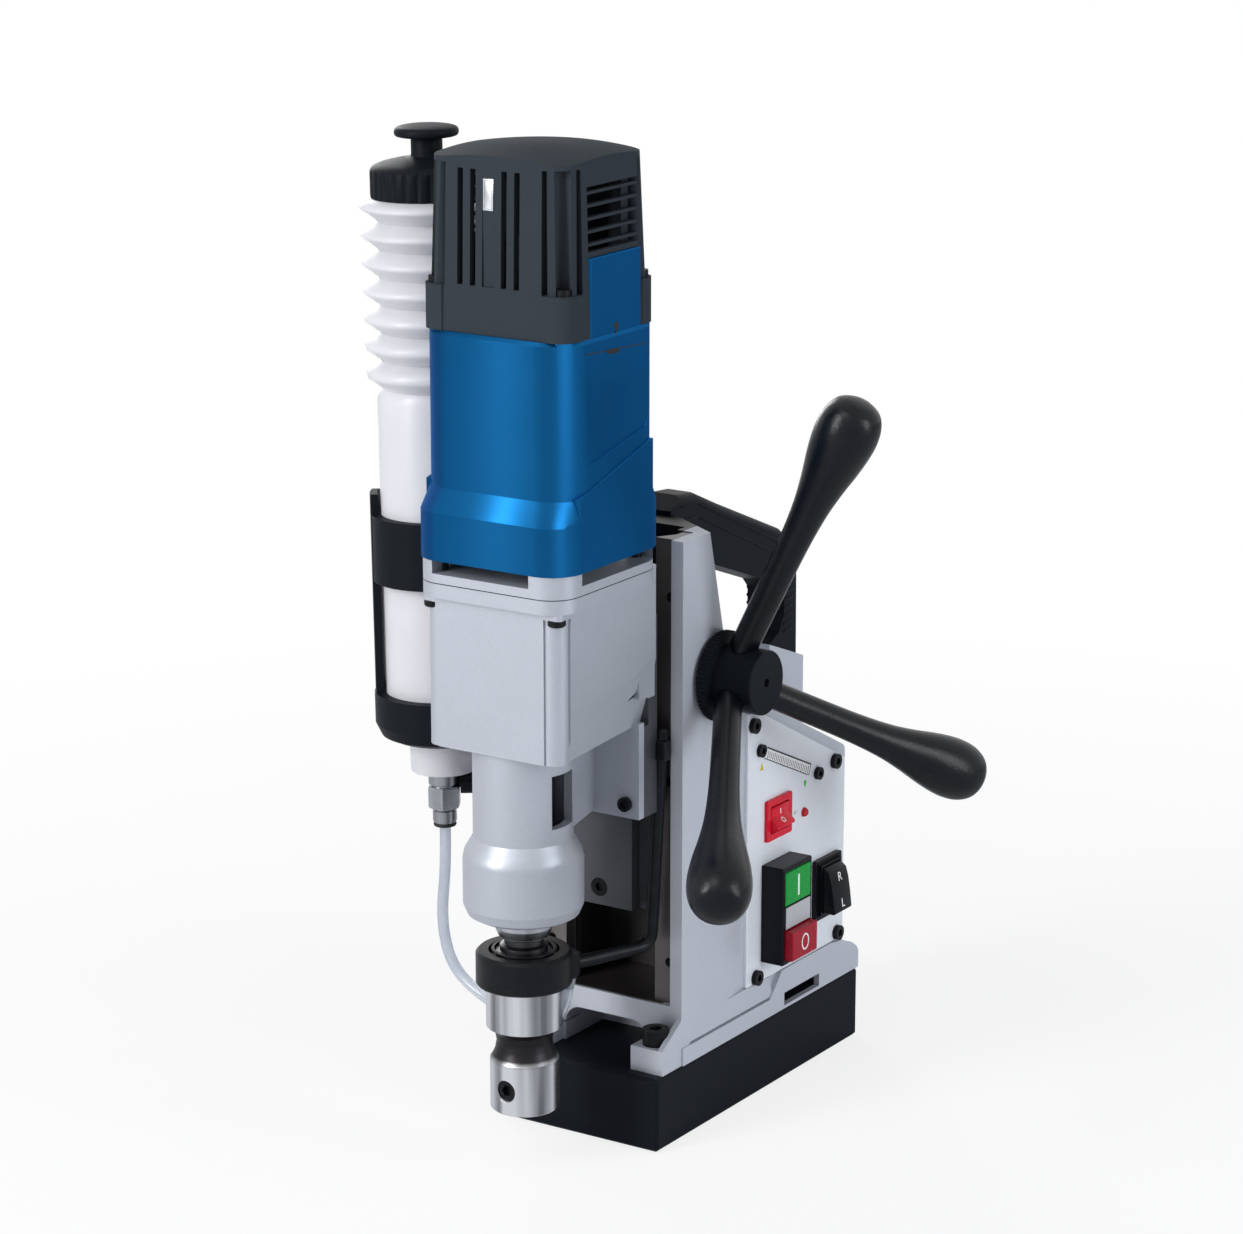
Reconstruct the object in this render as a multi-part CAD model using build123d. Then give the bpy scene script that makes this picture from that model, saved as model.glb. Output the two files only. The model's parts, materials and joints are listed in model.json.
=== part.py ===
from build123d import *
import math
import os

# Magnetic drill press, millimetres. The origin is the middle of the magnet's lower face,
# +Z is up, the spindle side is -Y and the feed handles and switches are on +X.

# ---------------------------------------------------------------- driving dimensions
# magnetic foot
MAGNET_LENGTH = 195.0
MAGNET_WIDTH = 90.0
MAGNET_HEIGHT = 37.5
MAGNET_BEVEL = 1.5
COIL_SLOT_WIDTH = 9.0
COIL_SLOT_DEPTH = 25.0
POLE_LENGTH = 128.0
POLE_WIDTH = 34.0
COIL_SLACK = 0.5

# spindle and arbor
SPINDLE_Y = -145.0
SPINDLE_RADIUS = 15.0
SPINDLE_NOSE_RADIUS = 14.0
SPINDLE_NOSE_END = 119.0
SPINDLE_TOP = 258.0
TAPER_BIG_RADIUS = 11.9
TAPER_SMALL_RADIUS = 9.9
TAPER_LENGTH = 76.0
TAPER_GAP = 0.03
DRIFT_SLOT_BOTTOM = 176.0
DRIFT_SLOT_HEIGHT = 26.0
DRIFT_SLOT_WIDTH = 17.0
DRIFT_SLOT_INNER_WIDTH = 8.5
ARBOR_COLLAR_RADIUS = 16.6
ARBOR_BOTTOM = 31.2
ARBOR_BAND_RADIUS = 18.3
ARBOR_BAND_BOTTOM = 73.0
ARBOR_BAND_TOP = 93.6
ARBOR_WAIST_RADIUS = 13.4
ARBOR_JOURNAL_RADIUS = 13.5
CUTTER_BORE = 19.05
CUTTER_BORE_DEPTH = 40.0
GRUB_RADIUS = 5.0
GRUB_Z = 43.5

# column casting
COLUMN_HALF_WIDTH = 44.0
COLUMN_FRONT = -74.0
COLUMN_TOP = 301.0
COLUMN_BACK_TOP = -50.0
COLUMN_BACK_SLOPE = 0.245
COLUMN_SPINE_HALF_WIDTH = 13.0
COLUMN_SPINE_DEPTH = 20.0
CHANNEL_HALF_WIDTH = 37.3
CHANNEL_BOTTOM = 67.0
RAIL_FRONT = -70.0
RAIL_BACK = -54.0
RAIL_SHELF = -54.0
DOVETAIL_NECK = 26.0
DOVETAIL_FOOT = 31.5
DOVETAIL_KNEE_Y = -60.0
DOVETAIL_GAP = 0.05
FOOT_FRONT = -91.0
FOOT_REAR = 98.0
FOOT_EAR_TOP = 50.0
FOOT_EAR_INNER = 25.5
FOOT_LEDGE_TOP = 58.7
BRIDGE_UNDERSIDE = 56.0
STRAP_SLOT_FRONT = 22.5
STRAP_SLOT_LENGTH = 35.0
STRAP_SLOT_BOTTOM = 39.2
STRAP_SLOT_HEIGHT = 6.8

# electronics housing on the back of the column
BOX_HALF_WIDTH = 42.0
BOX_BACK = 86.0
BOX_TOP_AT_COLUMN = 220.7
BOX_TOP_AT_BACK = 161.0
BOX_WALL = 4.0
PANEL_THICKNESS = 2.0
PANEL_FRONT = -13.0
PANEL_REAR = 83.0
LUG_HALF_WIDTH = 13.0
LUG_FRONT = 58.0
LUG_REAR = 92.0

# feed gear
FEED_Y = -43.0
FEED_Z = 229.0
FEED_TEETH = 14
FEED_PITCH_RADIUS = 10.5
FEED_SHAFT_RADIUS = 8.0
FEED_BUSH_RADIUS = 11.0
RUNNING_GAP = 0.04
HUB_RADIUS = 15.9
FLANGE_RADIUS = 22.3
FLANGE_INNER_X = BOX_HALF_WIDTH + 3.6
HUB_END_X = FLANGE_INNER_X + 26.4
END_CAP_INNER_X = -BOX_HALF_WIDTH - 2.8
END_CAP_THICKNESS = 4.7
SHAFT_END_X = END_CAP_INNER_X - 2.2
FLANGE_THICKNESS = 5.0
SPOKE_ROOT_X = FLANGE_INNER_X + 5.4
SPOKE_SPLAY = 26.3
SPOKE_REACH = 143.3
GRIP_RADIUS = 15.2
SPOKE_ANGLES = (90.0, -30.0, -150.0)

# carriage: slide, gearbox, motor
SLIDE_BOTTOM = 114.5
SLIDE_TOP = 266.0
SLIDE_FRONT = -80.0
SLIDE_FRONT_HALF_WIDTH = 19.0
PAD_HALF_WIDTH = 33.3
PAD_FRONT = -91.5
FLANGE_PLATE_THICKNESS = 4.5
FLANGE_PLATE_BOTTOM = 167.5
GEARBOX_HALF_WIDTH = 38.7
GEARBOX_FRONT = -171.0
GEARBOX_BACK = -87.5
GEARBOX_BOTTOM = 213.0
GEARBOX_FLANGE_BOTTOM = 285.5
GEARBOX_SEAM = 292.5
GEARBOX_FLANGE_HALF_WIDTH = 41.8
GEARBOX_FLANGE_FRONT = -174.5
GEARBOX_CORNER = 14.0
GEARBOX_WALL = 3.5
NECK_RADIUS = 23.8
NECK_BORE = 19.5
NOSE_RADIUS = 28.8
NOSE_BOTTOM = 128.0
NOSE_SHOULDER = 158.8
NECK_SHOULDER = 168.2
VENT_GAP_BOTTOM = 297.0
HOUSING_BOTTOM = 303.4
HOUSING_TOP = 410.0
SKIRT_HALF_WIDTH = 43.2
SKIRT_FRONT = -175.3
SKIRT_BACK = -85.5
SKIRT_TOP = 326.0
BELT_TOP = 337.0
BODY_HALF_WIDTH = 42.0
BODY_FRONT = -169.6
BODY_BACK = -88.0
BODY_CORNER = 18.0
MOTOR_WALL = 3.0
MOTOR_Y = -127.0
CAP_HALF_WIDTH = 40.5
CAP_FRONT = -167.0
CAP_BACK = -92.0
CAP_HEIGHT = 84.0
CAP_TOP = HOUSING_TOP + CAP_HEIGHT
CAP_CORNER = 12.0
ARMATURE_RADIUS = 21.0
STATOR_BORE = 21.6
STATOR_RADIUS = 36.5

# coolant ring, rod, bottle
RING_RADIUS = 23.1
RING_BOTTOM = 94.2
RING_TOP = 111.0
RING_BORE = 19.6
RING_SEAL_BORE = 13.54
ROD_RADIUS = 2.6
ROD_TOP = 208.5
BOTTLE_X = -72.6
BOTTLE_Y = -107.0
BOTTLE_Z = 150.0
BOTTLE_LEAN = -1.04
BOTTLE_RADIUS = 26.8
BOTTLE_WALL = 1.3
BELLOWS_RADIUS = 32.6
BELLOWS_ROOT = 24.2
BELLOWS_PITCH = 13.3
BELLOWS_COUNT = 7
HOSE_RADIUS = 2.8
HOSE_BORE = 1.9

# screws
M3, M4, M5, M6, M8 = 1.5, 2.0, 2.5, 3.0, 4.0
THROUGH_GAP = 0.25

OUT = "parts"
os.makedirs(OUT, exist_ok=True)


# ---------------------------------------------------------------- helpers
def block(x0, x1, y0, y1, z0, z1):
    return Pos((x0 + x1) / 2, (y0 + y1) / 2, (z0 + z1) / 2) * Box(x1 - x0, y1 - y0, z1 - z0)


def rod_z(x, y, z0, z1, radius):
    return Pos(x, y, (z0 + z1) / 2) * Cylinder(radius, z1 - z0)


def rod_x(y, z, x0, x1, radius):
    return Pos((x0 + x1) / 2, y, z) * Rot(0, 90, 0) * Cylinder(radius, x1 - x0)


def rod_y(x, z, y0, y1, radius):
    return Pos(x, (y0 + y1) / 2, z) * Rot(90, 0, 0) * Cylinder(radius, y1 - y0)


def prism_yz(points, x0, x1):
    face = Plane.YZ * make_face(Polyline(*points, close=True))
    return Pos(x0, 0, 0) * extrude(face, amount=x1 - x0)


def prism_xy(points, z0, z1):
    face = make_face(Polyline(*points, close=True))
    return Pos(0, 0, z0) * extrude(face, amount=z1 - z0)


def turned(points, x=0.0, y=0.0, z=0.0):
    face = Plane.XZ * make_face(Polyline(*points, close=True))
    return Pos(x, y, z) * revolve(face, Axis.Z)


def rounded_box(half_width, front, back, z0, z1, corner):
    face = RectangleRounded(2 * half_width, back - front, corner)
    return Pos(0, (front + back) / 2, z0) * extrude(face, amount=z1 - z0)


def mirrored(shape):
    return mirror(shape, Plane.YZ)


def toothed(pitch_radius, teeth, depth, x, y, z0, z1):
    # Plain trapezoid teeth whose tips stay just inside the pitch circle.
    tip, root = pitch_radius - 0.06, pitch_radius - depth
    points = []
    for i in range(teeth):
        for share, radius in ((0.02, root), (0.28, tip), (0.58, tip), (0.84, root)):
            turn = 2 * math.pi * (i + share) / teeth
            points.append((x + radius * math.cos(turn), y + radius * math.sin(turn)))
    return prism_xy(points, z0, z1)


def cap_screw(radius, length, head_radius, head_height):
    # Socket screw along -Z with the head's underside at the origin.
    body = rod_z(0, 0, -length, 0, radius) + rod_z(0, 0, 0, head_height, head_radius)
    socket = extrude(RegularPolygon(head_radius * 0.52, 6), amount=head_height * 0.6)
    return body - Pos(0, 0, head_height * 0.45) * socket


def write(name, shape):
    solids = shape.solids()
    shape = solids[0] if len(solids) == 1 else Compound(children=list(solids))
    export_step(shape, f"{OUT}/{name}.step")
    print(f"{name:24s} {len(solids)} solid(s) {sum(s.volume for s in solids):12.1f} mm3")


# ---------------------------------------------------------------- magnetic foot
half_l, half_w = MAGNET_LENGTH / 2, MAGNET_WIDTH / 2
magnet = block(-half_w, half_w, -half_l, half_l, 0, MAGNET_HEIGHT)
magnet = chamfer(magnet.edges(), MAGNET_BEVEL)
pole_l, pole_w = POLE_LENGTH / 2, POLE_WIDTH / 2
slot_l, slot_w = pole_l + COIL_SLOT_WIDTH, pole_w + COIL_SLOT_WIDTH
magnet -= block(-slot_w, slot_w, -slot_l, slot_l, 0, COIL_SLOT_DEPTH) - block(
    -pole_w, pole_w, -pole_l, pole_l, 0, COIL_SLOT_DEPTH
)
FOOT_SCREWS = [(side * x, y) for side in (-1, 1) for x, y in ((34.5, -82.5), (27.0, 70.0))]
for x, y in FOOT_SCREWS:
    magnet -= rod_z(x, y, MAGNET_HEIGHT - 14, MAGNET_HEIGHT + 1, M8)
magnet -= rod_z(0, 40, COIL_SLOT_DEPTH - 6, MAGNET_HEIGHT + 1, 4.0)
write("magnet_body", magnet)

c = COIL_SLACK
coil = block(-slot_w + c, slot_w - c, -slot_l + c, slot_l - c, 2.0, COIL_SLOT_DEPTH)
coil -= block(-pole_w - c, pole_w + c, -pole_l - c, pole_l + c, 0, COIL_SLOT_DEPTH + 1)
write("magnet_coil", coil)

foot_screw = cap_screw(M8, 24, 6.5, 8.0)
screws = [Pos(x, y, FOOT_EAR_TOP) * foot_screw for x, y in FOOT_SCREWS]
write("foot_screws", Compound(children=screws))


# ---------------------------------------------------------------- column casting
def back_of_column(z):
    return COLUMN_BACK_TOP + (COLUMN_TOP - z) * COLUMN_BACK_SLOPE


def box_top(y):
    share = (y + 30.0) / (BOX_BACK + 30.0)
    return BOX_TOP_AT_COLUMN + share * (BOX_TOP_AT_BACK - BOX_TOP_AT_COLUMN)


def column_section(z, inset=0.0):
    w, s = COLUMN_HALF_WIDTH - inset, COLUMN_SPINE_HALF_WIDTH - inset * 0.4
    rear = back_of_column(z) - inset
    spine = rear + COLUMN_SPINE_DEPTH
    return make_face(
        Pos(0, 0, z)
        * Polyline(
            (-w, COLUMN_FRONT), (w, COLUMN_FRONT), (w, rear), (s, spine), (-s, spine), (-w, rear),
            close=True,
        )
    )


column = loft([column_section(MAGNET_HEIGHT + 10), column_section(COLUMN_TOP)])
column = column & block(-60, 60, COLUMN_FRONT, 60, MAGNET_HEIGHT, COLUMN_TOP)
side_outline = [
    (-60, MAGNET_HEIGHT),
    (BOX_BACK, MAGNET_HEIGHT),
    (BOX_BACK, BOX_TOP_AT_BACK),
    (-30, BOX_TOP_AT_COLUMN),
    (-60, BOX_TOP_AT_COLUMN),
]
box = prism_yz(side_outline, -BOX_HALF_WIDTH, BOX_HALF_WIDTH)
box = fillet(box.edges().filter_by(Axis.X).sort_by(Axis.Y)[-1:], 5)
column += box
lug_outline = [
    (LUG_FRONT, 150),
    (LUG_REAR, 150),
    (LUG_REAR, 203.2),
    (LUG_FRONT, 216.4),
]
column += prism_yz(lug_outline, -LUG_HALF_WIDTH, LUG_HALF_WIDTH)
# foot plate with two ears in front and a raised ledge behind
foot = block(-half_w, half_w, COLUMN_FRONT, FOOT_REAR, MAGNET_HEIGHT, 46.5)
ledge_outline = [
    (0.0, MAGNET_HEIGHT),
    (FOOT_REAR, MAGNET_HEIGHT),
    (FOOT_REAR, FOOT_LEDGE_TOP - 12),
    (FOOT_REAR - 2, FOOT_LEDGE_TOP - 9),
    (FOOT_REAR - 7, FOOT_LEDGE_TOP - 5.6),
    (FOOT_REAR - 16, FOOT_LEDGE_TOP - 2),
    (FOOT_REAR - 28, FOOT_LEDGE_TOP),
    (20.0, FOOT_LEDGE_TOP),
]
foot += prism_yz(ledge_outline, -half_w, half_w)
for side in (-1, 1):
    ear = block(FOOT_EAR_INNER, COLUMN_HALF_WIDTH, FOOT_FRONT, -66, MAGNET_HEIGHT, FOOT_EAR_TOP)
    ear += prism_yz(
        [(-91, MAGNET_HEIGHT), (-70, MAGNET_HEIGHT), (-70, 61), (-74, 61), (-91, FOOT_EAR_TOP)],
        COLUMN_HALF_WIDTH - 3,
        COLUMN_HALF_WIDTH,
    )
    foot += ear if side > 0 else mirrored(ear)
column += foot
# round bosses for the feed shaft
column += rod_x(FEED_Y, FEED_Z, -COLUMN_HALF_WIDTH, COLUMN_HALF_WIDTH, 19.0)

# inside: the guide channel, the hollow behind it and the electronics space
bottom = CHANNEL_BOTTOM
column -= block(-CHANNEL_HALF_WIDTH, CHANNEL_HALF_WIDTH, COLUMN_FRONT - 1, RAIL_SHELF, bottom, 310)
hollow_depth = -28.5
hollow_z = COLUMN_TOP - (hollow_depth - 3 - COLUMN_BACK_TOP) / COLUMN_BACK_SLOPE
hollow = [
    (RAIL_SHELF - 1, bottom),
    (hollow_depth, bottom),
    (hollow_depth, hollow_z),
    (COLUMN_BACK_TOP + 3, COLUMN_TOP),
    (COLUMN_BACK_TOP + 3, 310),
    (RAIL_SHELF - 1, 310),
]
column -= prism_yz(hollow, -28, 28)
arch = block(-24, 24, COLUMN_FRONT - 20, -40, MAGNET_HEIGHT - 1, BRIDGE_UNDERSIDE)
arch = fillet(arch.edges().filter_by(Axis.Y).group_by(Axis.Z)[-1], 9)
column -= arch
inner_outline = [
    (-22, FOOT_EAR_TOP),
    (BOX_BACK - BOX_WALL, FOOT_EAR_TOP),
    (BOX_BACK - BOX_WALL, box_top(BOX_BACK) - BOX_WALL - 1),
    (-22, box_top(-22) - BOX_WALL - 1),
]
inner = prism_yz(inner_outline, -BOX_HALF_WIDTH + BOX_WALL, BOX_HALF_WIDTH - BOX_WALL)
inner_front = [(-5, 66), (75.5, 66), (75.5, 152), (-5, 191)]
inner += prism_yz(inner_front, 20, BOX_HALF_WIDTH + 5)
column -= inner
# the panel sits in a shallow recess on the right
recess = [
    (COLUMN_HALF_WIDTH + 3, -33),
    (COLUMN_HALF_WIDTH, -33),
    (BOX_HALF_WIDTH, -15),
    (BOX_HALF_WIDTH, 120),
    (COLUMN_HALF_WIDTH + 3, 120),
]
column -= prism_xy(recess, FOOT_LEDGE_TOP, 205)
# bosses inside for the panel screws
PANEL_SCREWS = [(-9.0, 195.0), (71.5, 156.5), (76.0, 62.8), (-4.5, 62.3)]
for y, z in PANEL_SCREWS:
    boss = rod_x(y, z, BOX_HALF_WIDTH - 16, BOX_HALF_WIDTH, 5.0)
    column += boss & prism_yz(side_outline, BOX_HALF_WIDTH - 22, BOX_HALF_WIDTH)
for y, z in PANEL_SCREWS:
    column -= rod_x(y, z, BOX_HALF_WIDTH - 12, BOX_HALF_WIDTH + 5, M4)
# through slot for the safety strap
column -= block(
    -half_w - 1,
    half_w + 1,
    STRAP_SLOT_FRONT,
    STRAP_SLOT_FRONT + STRAP_SLOT_LENGTH,
    STRAP_SLOT_BOTTOM,
    STRAP_SLOT_BOTTOM + STRAP_SLOT_HEIGHT,
)
# screw and shaft bores
for x, y in FOOT_SCREWS:
    column -= rod_z(x, y, MAGNET_HEIGHT - 1, 61, M8 + THROUGH_GAP)
    column -= rod_z(x, y, FOOT_EAR_TOP, 64, 7.0)
column -= rod_x(FEED_Y, FEED_Z, -60, 60, FEED_BUSH_RADIUS)
column -= rod_x(FEED_Y, FEED_Z, -14, 14, 13.6)
GLAND_X, GLAND_Z = 23.0, 66.5
column -= rod_y(GLAND_X, GLAND_Z, BOX_BACK - 10, BOX_BACK + 5, 7.0)
GIB_SCREWS_Z = (90.0, 155.0, 220.0, 285.0)
for z in GIB_SCREWS_Z:
    column -= rod_x(-62, z, -60, -CHANNEL_HALF_WIDTH + 1, M5)
# carry handle screws: one from inside the column, one through the lug
column -= rod_y(0, 288, -50, -20, M6 + THROUGH_GAP)
column -= rod_y(0, 288, -50, -38, 5.4)
column -= rod_y(0, 200, LUG_REAR - 40, LUG_REAR + 1, M5 + THROUGH_GAP)
column -= block(-8, 8, 69, 83, 190, 216)

# ---------------------------------------------------------------- guide rails and gib
g = DOVETAIL_GAP
rail_outline = [
    (DOVETAIL_NECK + g, RAIL_FRONT),
    (CHANNEL_HALF_WIDTH, RAIL_FRONT),
    (CHANNEL_HALF_WIDTH, RAIL_BACK),
    (DOVETAIL_FOOT + g, RAIL_BACK),
    (DOVETAIL_FOOT + g, DOVETAIL_KNEE_Y),
]
rail = prism_xy(rail_outline, CHANNEL_BOTTOM, COLUMN_TOP - 0.5)
RAIL_SCREWS_Z = (88.0, 180.0, 272.0)
rail_screws = []
for z in RAIL_SCREWS_Z:
    at = Pos(34.4, RAIL_FRONT + 4.0, z) * Rot(90, 0, 0)
    rail -= at * rod_z(0, 0, -20, 8, M3 + 0.15) + at * rod_z(0, 0, 0, 8, 2.45)
    rail_screws.append(at * cap_screw(M3, 16, 2.4, 3.0))
for s in list(rail_screws):
    rail_screws.append(mirrored(s))
write("guide_rail", rail)
write("gib_strip", mirrored(rail))
for z in RAIL_SCREWS_Z:
    for side in (-1, 1):
        column -= rod_y(side * 34.4, z, RAIL_BACK - 1, RAIL_BACK + 5, M3)
write("column_casting", column)

gib_screws = []
for z in GIB_SCREWS_Z:
    set_screw = rod_x(-62, z, -43.6, -CHANNEL_HALF_WIDTH, M5)
    set_screw -= Pos(-43.6, -62, z) * Rot(0, 90, 0) * extrude(RegularPolygon(1.4, 6), amount=3)
    gib_screws.append(set_screw)
write("column_screws", Compound(children=rail_screws + gib_screws))

# ---------------------------------------------------------------- control panel
panel_outline = [
    (PANEL_FRONT, FOOT_LEDGE_TOP + 0.3),
    (PANEL_REAR, FOOT_LEDGE_TOP + 0.3),
    (PANEL_REAR, 155.5),
    (-4.0, 201.0),
    (PANEL_FRONT, 201.0),
]
panel_x = BOX_HALF_WIDTH + PANEL_THICKNESS
panel = prism_yz(panel_outline, BOX_HALF_WIDTH, panel_x)
panel = chamfer(panel.edges().filter_by(Axis.Z).group_by(Axis.X)[-1], 0.5)
WINDOW_AT, WINDOW_TURN = (24.3, 168.4), -24.5
WINDOW_LENGTH, WINDOW_HEIGHT = 48.5, 6.4
WINDOW_SCREWS = [(-2.0, 180.4), (54.4, 154.4)]
ROCKER_AT = (15.0, 141.8)
ROCKER_HOLE = (20.0, 17.0)
LED_AT = (41.6, 137.0)
SWITCH_BOX = (0.5, 28.5, 68.8, 120.0)
DIRECTION_AT = (63.3, 92.0)
DIRECTION_HOLE = (21.0, 28.0)


def on_panel(y, z, x=panel_x, turn=0.0):
    # A frame whose z points out of the panel, x along +Y and y along +Z.
    return Location(Plane(origin=(x, y, z), x_dir=(0, 1, 0), z_dir=(1, 0, 0))) * Rot(0, 0, turn)


def slab(width, height, depth, corner=0.0):
    face = RectangleRounded(width, height, corner) if corner else Rectangle(width, height)
    return extrude(face, amount=depth)


panel -= on_panel(*WINDOW_AT, panel_x - 5, WINDOW_TURN) * slab(WINDOW_LENGTH, WINDOW_HEIGHT, 9, 1)
panel -= on_panel(*ROCKER_AT, panel_x - 5) * slab(*ROCKER_HOLE, 9)
panel -= on_panel(*DIRECTION_AT, panel_x - 5) * slab(*DIRECTION_HOLE, 9)
panel -= rod_x(*LED_AT, panel_x - 14, panel_x + 16, 2.5)
y0, y1, z0, z1 = SWITCH_BOX
box_y, box_z = (y0 + y1) / 2, (z0 + z1) / 2
box_w, box_h = y1 - y0, z1 - z0
panel -= on_panel(box_y, box_z, panel_x - 5) * slab(box_w - 5, box_h - 6, 9)
for y, z in PANEL_SCREWS:
    panel -= rod_x(y, z, panel_x - 14, panel_x + 16, M4 + 0.2)
for y, z in WINDOW_SCREWS:
    panel -= rod_x(y, z, panel_x - 14, panel_x + 16, M3)
write("control_panel", panel)

panel_screw = cap_screw(M4, 11, 3.9, 2.6)
screws = [on_panel(y, z) * panel_screw for y, z in PANEL_SCREWS]
screws += [on_panel(y, z) * cap_screw(M3, 6, 3.3, 2.2) for y, z in WINDOW_SCREWS]
write("panel_screws", Compound(children=screws))

window = slab(WINDOW_LENGTH - 0.2, WINDOW_HEIGHT - 0.2, 2.8, 0.9)
write("feed_window", on_panel(*WINDOW_AT, panel_x - 2.0, WINDOW_TURN) * window)
led = rod_x(*LED_AT, panel_x - 4, panel_x, 2.45) + Pos(panel_x, *LED_AT) * Sphere(2.45)
write("status_led", led)

# rocker switches: a bezel with its body, and a rocker on its own pin along Y
PIN_RADIUS, PIN_GAP = 1.2, 0.05


def rocker_bezel(at, width, height, hole, rim, wall=2.6):
    hole_w, hole_h = hole[0] - 0.2, hole[1] - 0.2
    body = slab(width, height, rim, 1.2) + Pos(0, 0, -16) * slab(hole_w, hole_h, 16)
    body -= Pos(0, 0, -13) * slab(hole_w - wall, hole_h - wall, 13 + rim + 1)
    body -= rod_x(0, 0, -hole_w / 2 + 0.4, hole_w / 2 - 0.4, PIN_RADIUS + PIN_GAP)
    return on_panel(*at) * body


def rocker(at, hole, depth, crown, tilt, wall=2.6):
    half_w, half_h = (hole[0] - 0.2 - wall) / 2 - 0.25, (hole[1] - 0.2 - wall) / 2
    outline = [
        (-half_h * 0.5, -depth),
        (half_h * 0.5, -depth),
        (half_h - 0.6, 0.5),
        (half_h - 0.3, crown),
        (0, crown * 0.55),
        (-half_h + 0.3, crown),
        (-half_h + 0.6, 0.5),
    ]
    face = Plane.YZ * make_face(Polyline(*outline, close=True))
    body = Pos(-half_w, 0, 0) * extrude(face, amount=2 * half_w)
    pin = (hole[0] - 0.2) / 2 - 0.5
    body += rod_x(0, 0, -pin, pin, PIN_RADIUS)
    return on_panel(*at) * Rot(tilt, 0, 0) * body


write("rocker_bezel", rocker_bezel(ROCKER_AT, 24.4, 21.4, ROCKER_HOLE, 1.8))
write("magnet_rocker", rocker(ROCKER_AT, ROCKER_HOLE, 6.0, 3.4, 8.0))
write("direction_bezel", rocker_bezel(DIRECTION_AT, 25.5, 32.0, DIRECTION_HOLE, 2.6))
write("direction_rocker", rocker(DIRECTION_AT, DIRECTION_HOLE, 7.0, 8.0, 7.0))

# start and stop switch
SWITCH_FACE = BOX_HALF_WIDTH + 15.0
SWITCH_WALL = 2.0
GREEN_Z = (99.6, 117.6)
RED_Z = (71.3, 87.3)
BUTTON_GAP = 0.3
RED_PROUD, GREEN_PROUD = 4.6, 0.4
switch = block(panel_x, SWITCH_FACE, y0, y1, z0, z1)
switch = chamfer(switch.edges().group_by(Axis.X)[-1], 0.6)
switch += block(BOX_HALF_WIDTH - 8, panel_x, y0 + 3.2, y1 - 3.2, z0 + 3.6, z1 - 3.6)
switch -= block(BOX_HALF_WIDTH - 6, SWITCH_FACE - SWITCH_WALL, y0 + 5, y1 - 5, z0 + 5, z1 - 5)
switch -= block(panel_x + 2, SWITCH_FACE - SWITCH_WALL, y0 + 0.9, y1 - 0.9, z0 + 1.4, z1 - 1.4)
for low, high in (GREEN_Z, RED_Z):
    switch -= block(SWITCH_FACE - 5, SWITCH_FACE + 5, y0 + 1.5, y1 - 1.5, low, high)
write("switch_housing", switch)


def button(span, proud):
    g = BUTTON_GAP
    body = block(SWITCH_FACE - 5.5, SWITCH_FACE + proud, y0 + 1.5 + g, y1 - 1.5 - g, span[0] + g, span[1] - g)
    body = chamfer(body.edges().group_by(Axis.X)[-1], 0.5)
    body += block(SWITCH_FACE - 6.0, SWITCH_FACE - 4.6, y0 + 1.1, y1 - 1.1, span[0] - 0.9, span[1] + 0.9)
    middle = (span[0] + span[1]) / 2
    return body + rod_x(box_y, middle, BOX_HALF_WIDTH - 1.5, SWITCH_FACE - 5.5, 3.0)


write("start_button", button(GREEN_Z, GREEN_PROUD))
write("stop_button", button(RED_Z, RED_PROUD))

# circuit board on pegs from the housing's far wall, and the mains cable inlet
left_wall = -BOX_HALF_WIDTH + BOX_WALL
board_x = left_wall + 11.0
board = block(board_x, board_x + 1.6, 2, 72, 62, 140)
for y, z in ((7, 67), (67, 67), (7, 135), (67, 135)):
    board += rod_x(y, z, left_wall, board_x, 2.5)
for y, z, w, h, d in ((20, 84, 22, 16, 12), (52, 84, 18, 18, 18), (34, 120, 30, 20, 9), (62, 116, 8, 22, 14)):
    board += block(board_x + 1.6, board_x + 1.6 + d, y - w / 2, y + w / 2, z - h / 2, z + h / 2)
write("circuit_board", board)

gland = rod_y(GLAND_X, GLAND_Z, BOX_BACK - 9, BOX_BACK, 6.9)
nut = Pos(GLAND_X, BOX_BACK, GLAND_Z) * Rot(-90, 0, 0) * extrude(RegularPolygon(8.2, 6), amount=5)
gland += nut + rod_y(GLAND_X, GLAND_Z, BOX_BACK + 5, BOX_BACK + 8, 6.6)
gland += Pos(GLAND_X, BOX_BACK + 8, GLAND_Z) * Rot(-90, 0, 0) * Cone(6.6, 4.6, 4, align=(
    Align.CENTER, Align.CENTER, Align.MIN))
gland -= rod_y(GLAND_X, GLAND_Z, BOX_BACK - 20, BOX_BACK + 20, 3.6)
write("cable_gland", gland)

# ---------------------------------------------------------------- carry handle
HANDLE_HALF_WIDTH = 11.0
handle_outline = [
    (back_of_column(279) + COLUMN_SPINE_DEPTH, 279.0),
    (back_of_column(COLUMN_TOP) + COLUMN_SPINE_DEPTH, COLUMN_TOP),
    (-33.0, COLUMN_TOP),
    (-33.0, 303.6),
    (-22.0, 309.2),
    (-8.0, 308.0),
    (14.0, 298.4),
    (74.0, 273.6),
    (86.0, 265.0),
    (91.0, 252.0),
    (LUG_REAR - 0.5, 203.41),
    (LUG_FRONT + 3.0, 215.24),
    (71.0, 220.0),
    (75.5, 229.0),
    (75.5, 240.0),
    (70.5, 245.4),
    (-12.0, 275.9),
]
handle = prism_yz(handle_outline, -HANDLE_HALF_WIDTH, HANDLE_HALF_WIDTH)
handle = fillet(
    [
        e
        for e in handle.edges().filter_by(GeomType.LINE)
        if abs(e.center().X) > 10
        and ((e.center().Z > 262 and e.center().Y > -20 and e.center().Z > 300 - 0.47 * e.center().Y)
             or (e.center().Y > 84 and e.center().Z > 215))
    ],
    5.0,
)
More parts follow.
